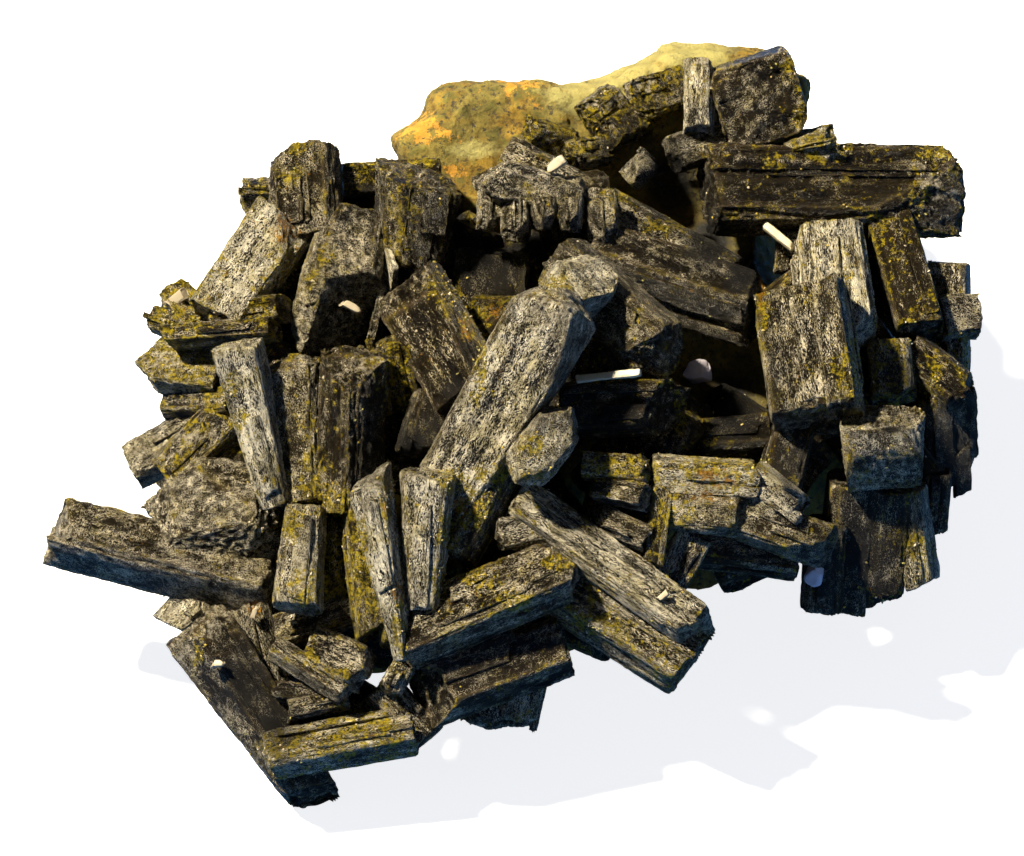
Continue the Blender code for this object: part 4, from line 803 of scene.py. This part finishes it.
def striated_skin():
    """A net of bright streaks along a crystal, pale ridges and painted glints, rounder and denser where it is
    granular.
    """
    inputs = {"Grain": (0.0, 0.0, 0.0), "Relief": 0.0, "Granular": 0.0, "Pale": 0.5}
    outputs = {"Streak": "Float", "Height": "Float"}
    tree, bench, given = new_tree("striated skin", "ShaderNodeTree", inputs, outputs)
    drift = bench.noise(given["Grain"], 0.7, output="Color")
    place = bench.vector("ADD", given["Grain"], bench.vector("MULTIPLY", drift, (0.9, 0.9, 0.0)))

    # How many cells of the net fit in a millimetre across the crystal and along it.
    wide = bench.between(given["Granular"], 8.0, 6.0)
    long = bench.between(given["Granular"], 0.85, 5.0)
    stretch = bench.add("ShaderNodeCombineXYZ", {"X": wide, "Y": wide, "Z": long}).outputs[0]
    scaly = bench.vector("MULTIPLY", place, stretch)

    # The lines lie where the net's noise crosses its middle, over a finer and a broader noise.
    net = bench.noise(scaly, 1.0, 2.5, 0.6)
    off = bench.math("ABSOLUTE", bench.math("SUBTRACT", net, 0.5))
    line = bench.ramp(off, 0.09, 0.01)
    fine = bench.noise(bench.vector("MULTIPLY", scaly, (1.8, 1.8, 2.2)), 1.0, 2.0, 0.6)
    broad = bench.noise(bench.vector("MULTIPLY", place, (0.55, 0.55, 0.30)), 1.0, 4.0, 0.65)
    height = bench.math("MULTIPLY_ADD", line, 0.35, bench.math("MULTIPLY", fine, 0.75))
    height = bench.math("MULTIPLY_ADD", net, 0.5, height)

    # The streaks are what stands above a level, which is lower on pale crystals and higher in grooves.
    lean = bench.math("MULTIPLY", bench.math("SUBTRACT", broad, 0.5), 0.95)
    lean = bench.math("MULTIPLY_ADD", given["Pale"], 0.30, lean)
    lean = bench.math("MULTIPLY_ADD", given["Relief"], -0.18, lean)
    level = bench.math("SUBTRACT", 0.91, lean)
    streak = bench.ramp(height, level, bench.math("ADD", level, 0.065))
    bench.put_out(Streak=streak, Height=height)
    return tree


def patch_skin():
    """Uneven patches: a mask that grows as its amount does, and a mottle to shade it with."""
    inputs = {"Place": (0.0, 0.0, 0.0), "Amount": 0.0, "Patch Size": 3.0}
    outputs = {"Mask": "Float", "Mottle": "Float"}
    tree, bench, given = new_tree("patchy crust", "ShaderNodeTree", inputs, outputs)
    place = given["Place"]
    scale = bench.math("DIVIDE", 1.0, given["Patch Size"])
    broad = bench.noise(place, scale, 6.0, 0.78)
    mottle = bench.noise(place, bench.math("MULTIPLY", scale, 2.2), 4.0, 0.75)
    mottle = bench.ramp(mottle, 0.44, 0.58)
    cluster = bench.math("SUBTRACT", 0.5, bench.noise(place, 0.22, 3.0, 0.6))
    level = bench.math("MULTIPLY_ADD", given["Amount"], -0.26, 0.655)
    level = bench.math("MULTIPLY_ADD", cluster, 0.35, level)
    level = bench.math("MAXIMUM", level, 0.48)
    mask = bench.ramp(broad, level, bench.math("ADD", level, 0.03))
    bench.put_out(Mask=mask, Mottle=mottle)
    return tree


class Finish(Bench):
    """A new material's bench, with what every finish of the cluster needs."""

    def __init__(self, name, roughness):
        self.material = bpy.data.materials.new(name)
        self.material.use_nodes = True
        super().__init__(self.material.node_tree)
        self.shader = self.tree.nodes["Principled BSDF"]
        self.set("Roughness", roughness)

    def set(self, name, value):
        self.feed(self.shader.inputs[name], value)

    def mark(self, name, output="Fac"):
        """An attribute of the mesh."""
        return self.add("ShaderNodeAttribute", attribute_name=name).outputs[output]

    def place_in_mm(self):
        found = self.add("ShaderNodeTexCoord").outputs["Object"]
        return self.scaled(found, 1 / MM)

    def bump(self, height, strength, depth_mm):
        inputs = {"Height": height, "Strength": strength, "Distance": depth_mm * MM}
        self.set("Normal", self.add("ShaderNodeBump", inputs).outputs["Normal"])


def epidote_finish(skin, patch):
    """Black crystals with brown and cream needles, under crust, rust and cream coats. The cream needles are
    partly painted glints, edges carry painted highlights, and grooves, pits and hollows carry painted shade.
    """
    finish = Finish("striated_epidote", 0.45)
    mark, blend, math_of = finish.mark, finish.blend, finish.math
    place = finish.place_in_mm()
    relief, pale = mark("relief"), mark("pale")
    inputs = {"Relief": relief, "Granular": mark("granular"), "Pale": pale}
    streak, height = finish.group(skin, Grain=mark("grain", "Vector"), **inputs).values()
    dark = blend(mark("lath"), "soot", "umber")
    golden = finish.ramp(finish.noise(place, 0.45, 5.0, 0.75), 0.48, 0.58)
    brown = blend(golden, "brown needle", "golden needle")
    # Cream streaks: pale ridges and painted glints, brighter on paler crystals.
    cream = blend(pale, "dull glint cream", "bright glint cream")
    cream = blend(math_of("MULTIPLY", golden, 0.5), cream, "mustard")
    # Painted highlights: edges are drawn as bright lines, as where they catch the light.
    streak = math_of("MAXIMUM", streak, math_of("MULTIPLY", mark("edge"), 0.5))
    colour = blend(finish.ramp(streak, 0.0, 0.5), dark, brown)
    colour = blend(finish.ramp(streak, 0.45, 1.0), colour, cream)
    for name, size in (("crust", 0.75), ("rust", 0.7), ("cream", 0.9)):
        amount = mark(name)
        if name == "crust":
            amount = math_of("ADD", amount, mark("yellow"))
            amount = math_of("MULTIPLY_ADD", mark("edge"), 0.4, amount)
        coat = finish.group(patch, Place=place, Amount=amount, Patch_Size=size)
        tint = blend(coat["Mottle"], f"{name} light", f"{name} dark")
        colour = blend(math_of("MULTIPLY", coat["Mask"], 0.9), colour, tint)
    # These spots paint shade: they darken hollows between crystals and faces that lie in shadow, and roughen
    # them to dull their sheen.
    painted_shade = mark("painted_shade")
    # Painted shade in grooves and pits: the deeper the relief, the darker the colour.
    shade = math_of("MULTIPLY_ADD", relief, -0.55, 1.0)
    shade = math_of("MULTIPLY", shade, finish.ramp(painted_shade, 0.0, 1.0, 1.0, 0.05))
    finish.set("Base Color", finish.scaled(colour, shade))
    finish.set("Roughness", math_of("MAXIMUM", finish.between(streak, 0.30, 0.60), painted_shade))
    finish.set("IOR", 1.55)
    finish.set("Specular IOR Level", 0.22)
    finish.bump(height, 1.0, 0.40)
    return finish.material


def rock_finish(patch):
    """Ochre and sandy rock with olive spots, dark specks, orange veins and a pale green strip, with painted
    shade in its cracks and hollows.
    """
    finish = Finish("ochre_matrix_rock", 0.85)
    mark, blend, math_of, ramp = finish.mark, finish.blend, finish.math, finish.ramp
    place = finish.place_in_mm()
    grit = finish.noise(place, 1.1, 6.0, 0.75)
    broad = finish.noise(place, 0.16, 4.0, 0.65)
    middling = finish.noise(place, 0.55, 5.0, 0.7)
    grainy = ramp(grit, 0.35, 0.65)
    yellow = blend(grainy, "deep ochre", "ochre")
    olive = blend(grainy, "deep olive", "olive")
    pale = blend(grainy, "deep sand", "sand")
    colour = blend(ramp(broad, 0.44, 0.54), yellow, pale)
    strip = ramp(math_of("ADD", middling, mark("cream")), 0.75, 1.05)
    spotted = math_of("MULTIPLY", ramp(middling, 0.52, 0.58), ramp(strip, 0.0, 1.0, 1.0, 0.3))
    colour = blend(spotted, colour, olive)
    colour = blend(math_of("MULTIPLY", strip, 0.75), colour, "pale green")
    speck = ramp(finish.noise(place, 1.4, 5.0, 0.75), 0.55, 0.61)
    speck = math_of("MULTIPLY", speck, ramp(strip, 0.0, 1.0, 1.0, 0.4))
    colour = blend(speck, colour, "dark speck")
    vein = finish.group(patch, Place=place, Amount=mark("rust"), Patch_Size=2.0)
    colour = blend(vein["Mask"], colour, "orange vein")
    # Painted shade: cracks are darkened.
    shade = math_of("MULTIPLY_ADD", mark("crack"), -0.3, 1.0)
    # The same spots paint shade on the rock, nearly black at full strength.
    shade = math_of("MULTIPLY", shade, ramp(mark("painted_shade"), 0.0, 1.0, 1.0, 0.02))
    finish.set("Base Color", finish.scaled(colour, shade))
    finish.set("Roughness", finish.between(speck, 0.9, 0.5))
    finish.bump(grit, 0.8, 0.5)
    return finish.material


def crumb_finish():
    """Each crumb takes one of four colours by its tint."""
    finish = Finish("crust_crumbs", 0.7)
    tint = finish.mark("tint")
    place = finish.place_in_mm()
    colour = "dark crumb"
    for start, name in ((0.25, "olive crumb"), (0.55, "yellow crumb"), (0.75, "cream crumb")):
        colour = finish.blend(finish.ramp(tint, start, start + 0.05), colour, name)
    grain = finish.noise(place, 6.0, 3.0)
    finish.set("Base Color", finish.scaled(colour, finish.ramp(grain, 0.3, 0.7, 0.6, 1.2)))
    finish.bump(grain, 0.5, 0.05)
    return finish.material


def pale_finish(name):
    """A clouded pale mineral with a few brown stains."""
    finish = Finish(f"{name}_grain", 0.4)
    place = finish.place_in_mm()
    cloud = finish.noise(place, 1.1, 4.0, 0.6)
    stain = finish.ramp(finish.noise(place, 2.6, 4.0, 0.7), 0.62, 0.7)
    colour = finish.blend(cloud, f"{name} grain dark", f"{name} grain light")
    finish.set("Base Color", finish.blend(stain, colour, "stain"))
    finish.set("Roughness", finish.ramp(cloud, 0.3, 0.7, 0.3, 0.6))
    finish.bump(cloud, 0.4, 0.1)
    return finish.material


# Pieces


def end_faces(cuts, half_length, facing, turn_deg):
    """Each plane that cuts an end, as its outward direction divided by its distance."""
    turn = math.radians(turn_deg)
    faces = []
    for to_side, to_front in cuts:
        across = -to_side * math.cos(turn) - to_front * math.sin(turn)
        out = to_front * math.cos(turn) - to_side * math.sin(turn)
        faces.append(Vector((across, out, facing)) / half_length)
    return faces


def cut_faces(cuts, frame):
    """Each cut of CUTS, as its outward direction divided by its distance, in the crystal's frame."""
    back = frame.inverted()
    faces = []
    for (right, up, out), point in cuts:
        way = back.to_3x3() @ (ACROSS * right + UPWARD * up + PROUD * out).normalized()
        faces.append(way / way.dot(back @ on_face(*point)))
    return faces


def crystal_faces(width, thick, length, turn_deg, flare, tip_cut, root_cut, corners=CORNERS):
    """Every face of a crystal, as its outward direction divided by its distance from the middle."""
    slope = width * (flare - 1.0) / (2 * length)
    middle = width * (1.0 + flare) / 4
    faces = []
    for hand, share in zip((1, -1), corners):
        faces.append(Vector((hand, 0, slope)) / middle)
        faces.append(Vector((0, hand, 0)) / (thick / 2))
        for front, cut in ((1, share), (-1, BACK_CORNER)):
            reach = middle - cut * min(width, thick) + thick / 2
            faces.append(Vector((hand, front, slope)) / reach)
    faces += end_faces(tip_cut, length / 2, 1, turn_deg)
    return faces + end_faces(root_cut, length / 2, -1, turn_deg)


class Grower:
    """Grows crystals with one tree and keeps the meshes until they are joined."""

    def __init__(self, tree, finish, seed=0):
        self.tree = tree
        self.finish = finish
        self.blank = bpy.data.meshes.new("blank")
        self.seed = seed
        self.meshes = []

    def grow(self, size, faces, frame, look, cell=1.0):
        self.seed += 1
        values = {"Size": size, "Seed": float(self.seed), "Finish": self.finish, **look}
        for axis, span, grid in zip("XYZ", size, (CELL_ACROSS, CELL_ACROSS, CELL_ALONG)):
            values[f"Rows {axis}"] = max(4, round(span / (grid * cell)) + 1)
        for number, face in enumerate(faces, 1):
            values[f"Face {number}"] = face
        mesh = evaluated(f"crystal_{self.seed}", self.blank, self.tree, values)
        mesh.transform(IN_METRES @ frame)
        self.meshes.append(mesh)

    def joined(self, name):
        made = joined(name, self.meshes)
        self.meshes = []
        return made


def joined(name, meshes):
    """One object at the origin from several plain meshes."""
    things = [placed(name, mesh) for mesh in meshes]
    first = things[0]
    if len(things) > 1:
        with bpy.context.temp_override(active_object=first, selected_editable_objects=things):
            bpy.ops.object.join()
    first.name = name
    first.data.name = name
    return first


def look_of(pale, granular, yellow, relief=None):
    """How a crystal looks, as inputs of the crystal tree."""
    look = {"Pale": float(pale), "Granular": float(granular), "Yellow": float(yellow)}
    return look | (relief or {})


def grow_crystal(
    grower, draw, name, root, tip, width, thick, turn, look=PLAIN, flare=1, tip_cut="flat", ledges=0,
    root_cut="flat",
):
    """One crystal of the display face, with thinner slabs that grew along its sides."""
    look = look_of(*look)
    root, tip = on_face(*root), on_face(*tip)
    frame = crystal_frame(root, tip, turn)
    length = (tip - root).length
    width, thick = width - SLIMMING, thick - SLIMMING
    corners = CORNERS_OF.get(name, tuple(draw.uniform(*CORNER_RANGE, 2)))
    faces = crystal_faces(width, thick, length, turn, flare, ENDS[tip_cut], ENDS[root_cut], corners)
    faces += cut_faces(CUTS.get(name, []), frame)
    grower.grow((width * max(flare, 1.0), thick, length), faces, frame, look)
    for _ in range(SLABS_OF.get(name, 1 + ledges + round(length / SLAB_EVERY))):
        add_slab(grower, draw, frame, (width, thick, length, turn, flare), look)


def add_slab(grower, draw, frame, crystal, look):
    """A thin prism half sunk in the front or a side of a crystal."""
    width, thick, length, turn, flare = crystal
    side = draw.choice((0, 0, 0, -1, 1)) if abs(flare - 1) < MOST_FLARE_FOR_SIDE_SLABS else 0
    reach = draw.uniform(*SLAB_REACH) * length
    along = draw.uniform(-1, 1) * (length - reach) / 2
    stand = draw.uniform(*SLAB_STAND)
    deep = draw.uniform(*SLAB_THICK)
    face = thick if side else width
    broad = max(draw.uniform(*SLAB_WIDTH_SHARE) * face, SLAB_LEAST_WIDTH)
    over = draw.uniform(-1, 1)
    cuts = [ENDS[draw.choice(("flat", "left", "right", "broken", "front"))] for _ in range(2)]
    narrow = min(flare, 1)
    if side:
        size = (deep, broad, reach)
        out = side * (width / 2 + stand - deep / 2)
        middle = (out, over * (thick - broad) * SIDE_SLAB_SPREAD, along)
    else:
        size = (broad, deep, reach)
        out = thick / 2 + stand - deep / 2
        middle = (over * (width * narrow - broad) * FRONT_SLAB_SPREAD, out, along)
    faces = crystal_faces(*size, turn, 1.0, *cuts)
    grower.grow(size, faces, frame @ Matrix.Translation(middle), look, SLAB_CELL)


def face_height(across, down):
    """How proud the cluster's surface stands at a place on the display face."""
    swell = FACE_CREST - FACE_CURVE * (down - FACE_CREST_DOWN) ** 2
    beyond = max(LEFT_DROP_FROM - across, across - RIGHT_DROP_FROM, 0.0)
    return swell - SIDE_DROP_SLOPE * beyond


def grow_bed(grower, draw):
    """The crystals that fill the cluster below those that show."""
    width, thick, length = BED_SIZE
    for down, start, end in BED_ROWS:
        count = round((end - start) / BED_STEP) + 1
        for number in range(count):
            across = start + (end - start) * number / (count - 1)
            proud = face_height(across, down) - BED_DEPTH
            heading = draw.uniform(0, math.pi)
            lean = draw.uniform(-BED_LEAN, BED_LEAN)
            step = Vector((length / 2 * math.cos(heading), length / 2 * math.sin(heading), lean))
            tip = on_face(across + step.x, down + step.y, proud + step.z)
            root = on_face(across - step.x, down - step.y, proud - step.z)
            size = (width, thick, (tip - root).length)
            faces = crystal_faces(*size, 0, 1.0, ENDS["flat"], ENDS["flat"])
            grower.grow(size, faces, crystal_frame(root, tip, 0), look_of(*BED_LOOK), BED_CELL)


def grow_lone_crystal(grower, draw, foot, tip, width, thick, turn):
    """One crystal that stands out of the rock, with its slabs."""
    foot, tip = Vector(foot), Vector(tip)
    frame = crystal_frame(foot, tip, turn)
    size = (width - SLIMMING, thick - SLIMMING, (tip - foot).length)
    faces = crystal_faces(*size, turn, 1.0, ENDS["roof"], ENDS["flat"])
    grower.grow(size, faces, frame, look_of(*PLAIN))
    for _ in range(LONE_SLABS):
        add_slab(grower, draw, frame, (*size, turn, 1.0), look_of(*PLAIN))


def face_place(places):
    """Across and down on the display face for each vertex, as they are seen from the viewing point."""
    offset = places / MM - np.array(FACE_CORNER)
    proud = offset @ np.array(PROUD)
    scale = VIEW_DISTANCE / (VIEW_DISTANCE - proud)
    middle = np.array((FACE_WIDTH / 2, FACE_HEIGHT / 2))
    flat = np.stack((offset @ np.array(ACROSS), -(offset @ np.array(UPWARD))), axis=1)
    return middle + (flat - middle) * scale[:, None]


def paint_spots(piece):
    """Stores how strongly each kind of spot covers each vertex."""
    mesh = piece.data
    places = np.empty(len(mesh.vertices) * 3, dtype=np.float32)
    mesh.vertices.foreach_get("co", places)
    flat = face_place(places.reshape(-1, 3).astype(np.float64))
    for kind, spots in SPOTS.items():
        amount = np.zeros(len(flat))
        for across, down, wide, high, strength in spots:
            reach = ((flat[:, 0] - across) / wide) ** 2 + ((flat[:, 1] - down) / high) ** 2
            amount = np.maximum(amount, strength * np.exp(-reach))
        stored = mesh.attributes.new(kind, "FLOAT", "POINT")
        stored.data.foreach_set("value", amount.astype(np.float32))


def rock_facets(number):
    """Directions in which a lump is broken flat, spread evenly round it, with how far out each lies."""
    golden = math.pi * (3 - math.sqrt(5))
    draw = np.random.default_rng(number)
    facets = []
    for step in range(ROCK_FACETS):
        rise = 1 - 2 * (step + 0.5) / ROCK_FACETS
        spin = golden * step + number
        ring = math.sqrt(1 - rise * rise)
        way = Vector((ring * math.cos(spin), ring * math.sin(spin), rise))
        facets.append((way, draw.uniform(*ROCK_FACET_REACH)))
    return facets


def new_ball():
    """A round shape of radius 1, to be drawn out into a part of the rock."""
    ball = bmesh.new()
    bmesh.ops.create_icosphere(ball, subdivisions=ROCK_SUBDIVISIONS, radius=1.0)
    return ball


def mesh_of(shape):
    mesh = bpy.data.meshes.new("rock_part")
    shape.to_mesh(mesh)
    shape.free()
    return mesh


def rock_lump(number, middle, half_sizes):
    """One lump with broken flat faces, in millimetres, cut off at the floor."""
    lump = new_ball()
    facets = rock_facets(number)
    for corner in lump.verts:
        way = corner.co.normalized()
        for facet, reach in facets:
            way = way - facet * max(way.dot(facet) - reach, 0.0)
        place = Vector(way[axis] * half_sizes[axis] for axis in range(3))
        knob = noise.noise((place + Vector(middle)) * ROCK_KNOB_SCALE)
        corner.co = Vector(middle) + place * (1.0 + ROCK_KNOB_SHARE * knob)
    base = {"plane_co": (0, 0, ROCK_BASE), "plane_no": (0, 0, -1), "clear_outer": True}
    everything = lump.verts[:] + lump.edges[:] + lump.faces[:]
    cut = bmesh.ops.bisect_plane(lump, geom=everything, **base)
    rim = [piece for piece in cut["geom_cut"] if isinstance(piece, bmesh.types.BMEdge)]
    if rim:
        bmesh.ops.edgeloop_fill(lump, edges=rim)
    return mesh_of(lump)


def rock_block(middle, half_sizes, lean_deg):
    """A block with rounded edges, laid along the display face and leant over in it."""
    block = new_ball()
    lean = math.radians(lean_deg)
    sideways = ACROSS * math.cos(lean) + UPWARD * math.sin(lean)
    upwards = UPWARD * math.cos(lean) - ACROSS * math.sin(lean)
    for corner in block.verts:
        way = corner.co.normalized()
        reach = sum(abs(part) ** ROCK_BLOCK_ROUNDNESS for part in way)
        way = way * reach ** (-1 / ROCK_BLOCK_ROUNDNESS)
        step = sideways * way.x * half_sizes[0] + upwards * way.y * half_sizes[1]
        corner.co = on_face(*middle) + step + PROUD * way.z * half_sizes[2]
    return mesh_of(block)


def make_rock(patch):
    """The rock's skin, melted together from its lumps and blocks and set down on the floor."""
    parts = [rock_lump(number, *row) for number, row in enumerate(ROCK_LUMPS, 1)]
    lumps = joined("lumps", parts + [rock_block(*row) for row in ROCK_BLOCKS])
    source = lumps.data
    bpy.data.objects.remove(lumps)
    values = {"Voxel": ROCK_VOXEL, "Finish": rock_finish(patch)}
    mesh = evaluated("matrix_rock_skin", source, rock_tree(), values)
    mesh.transform(IN_METRES)
    low = min(corner.co.z for corner in mesh.vertices)
    mesh.transform(Matrix.Translation((0, 0, -low)))
    rock = joined("matrix_rock_skin", [mesh])
    paint_spots(rock)
    return rock


def make_crystals(skin, patch, grow):
    """The crystals of each region and of the bed, and apart from them those of the rock's back."""
    draw = np.random.default_rng(CRYSTAL_DRAW)
    grower = Grower(grow, epidote_finish(skin, patch))
    pieces = []
    for region, rows in CRYSTALS.items():
        for name, row in rows.items():
            grow_crystal(grower, draw, name, *row)
        pieces.append(grower.joined(f"crystals_{region}"))
    grow_bed(grower, draw)
    pieces.append(grower.joined("crystals_of_the_bed"))
    for row in LONE_CRYSTALS.values():
        grow_lone_crystal(grower, draw, *row)
    lone = grower.joined("lone_crystals")
    for piece in [*pieces, lone]:
        paint_spots(piece)
    return pieces, lone


def make_grains(grow):
    """Each pale grain's name and its skin."""
    grains = []
    finishes = {name: pale_finish(name) for name in ("cream", "painted_lit_ivory", "lilac")}
    for name, (root, tip, width, thick, turn, tip_end, root_end) in PALE_GRAINS.items():
        # Rods take a brighter copy of the pale finish, painted light so that they look lit where they lie in
        # shadow.
        finish = "lilac" if name in LILAC_GRAINS else "painted_lit_ivory" if "rod" in name else "cream"
        grower = Grower(grow, finishes[finish], GRAIN_SEED + len(grains))
        root, tip = on_face(*root), on_face(*tip)
        size = (width, thick, (tip - root).length)
        faces = crystal_faces(*size, turn, 1.0, ENDS[tip_end], ENDS[root_end])
        grower.grow(size, faces, crystal_frame(root, tip, turn), SMOOTH, GRAIN_CELL)
        grains.append((name, grower.joined(f"{name}_skin")))
    return grains


def make_crumbs(pieces, crumbs):
    """Crust crumbs scattered over the crystals, in one piece."""
    meshes = []
    finish = crumb_finish()
    for number, piece in enumerate(pieces, 1):
        source = piece.data.copy()
        source.transform(Matrix.Diagonal((1 / MM, 1 / MM, 1 / MM, 1.0)))
        mesh = evaluated("crumbs", source, crumbs, {"Seed": number, "Finish": finish})
        mesh.transform(IN_METRES)
        meshes.append(mesh)
    return joined("crust_crumbs", meshes)


def make_stage():
    """A pale floor that fills every view, and throws only a dim bluish light back up."""
    bpy.ops.mesh.primitive_plane_add(size=FLOOR_SIZE, location=(0, 0, 0))
    floor = bpy.context.object
    floor.name = "studio_floor"
    finish = Finish("pale_floor", 0.9)
    seen = finish.add("ShaderNodeLightPath").outputs["Is Camera Ray"]
    finish.set("Base Color", finish.blend(seen, "floor glow", "floor"))
    finish.set("Specular IOR Level", 0.0)
    finish.set("Emission Color", (0.97, 0.98, 1.0, 1))
    finish.set("Emission Strength", finish.math("MULTIPLY", seen, FLOOR_GLOW))
    floor.data.materials.append(finish.material)


def make_light():
    """A warm key light from the upper left, a faint blue one from the lower right, and a dim sky."""
    for name, (across, upward, proud), strength, colour, angle_deg in SUNS:
        lamp = bpy.data.lights.new(name, "SUN")
        lamp.energy = strength
        lamp.color = colour
        lamp.angle = math.radians(angle_deg)
        towards = ACROSS * across + UPWARD * upward + PROUD * proud
        placed(name, lamp).rotation_euler = (-towards).to_track_quat("-Z", "Y").to_euler()
    world = bpy.data.worlds.new("studio")
    world.use_nodes = True
    bpy.context.scene.world = world
    sky = world.node_tree.nodes["Background"]
    sky.inputs["Color"].default_value = (*COLOURS["sky"], 1)
    sky.inputs["Strength"].default_value = SKY_STRENGTH


def make_camera():
    """A long lens that looks straight at the middle of the display face and frames all of it."""
    lens = bpy.data.cameras.new("camera")
    lens.sensor_width = SENSOR_WIDTH
    lens.lens = SENSOR_WIDTH * VIEW_DISTANCE / FACE_WIDTH
    lens.clip_start = 0.01
    camera = placed("camera", lens)
    middle = on_face(FACE_WIDTH / 2, FACE_HEIGHT / 2, 0)
    camera.location = (middle + PROUD * VIEW_DISTANCE) * MM
    camera.rotation_euler = (-PROUD).to_track_quat("-Z", "Y").to_euler()
    bpy.context.scene.camera = camera


def main():
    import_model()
    bpy.context.scene.view_settings.view_transform = "Standard"
    make_camera()
    make_light()
    make_stage()
    patch = patch_skin()
    grow = crystal_tree()
    pieces, lone = make_crystals(striated_skin(), patch, grow)
    for piece in pieces:
        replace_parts(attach(piece, "root"), "epidote_crystals")
    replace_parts(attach(lone, "root"), *LONE_CRYSTALS)
    rock = make_rock(patch)
    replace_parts(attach(rock, "root"), "matrix_rock")
    for name, grain in make_grains(grow):
        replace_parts(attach(grain, "root"), name)
    crumbs = make_crumbs([*pieces, lone], crumb_tree())
    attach(crumbs, "root")
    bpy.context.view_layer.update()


main()
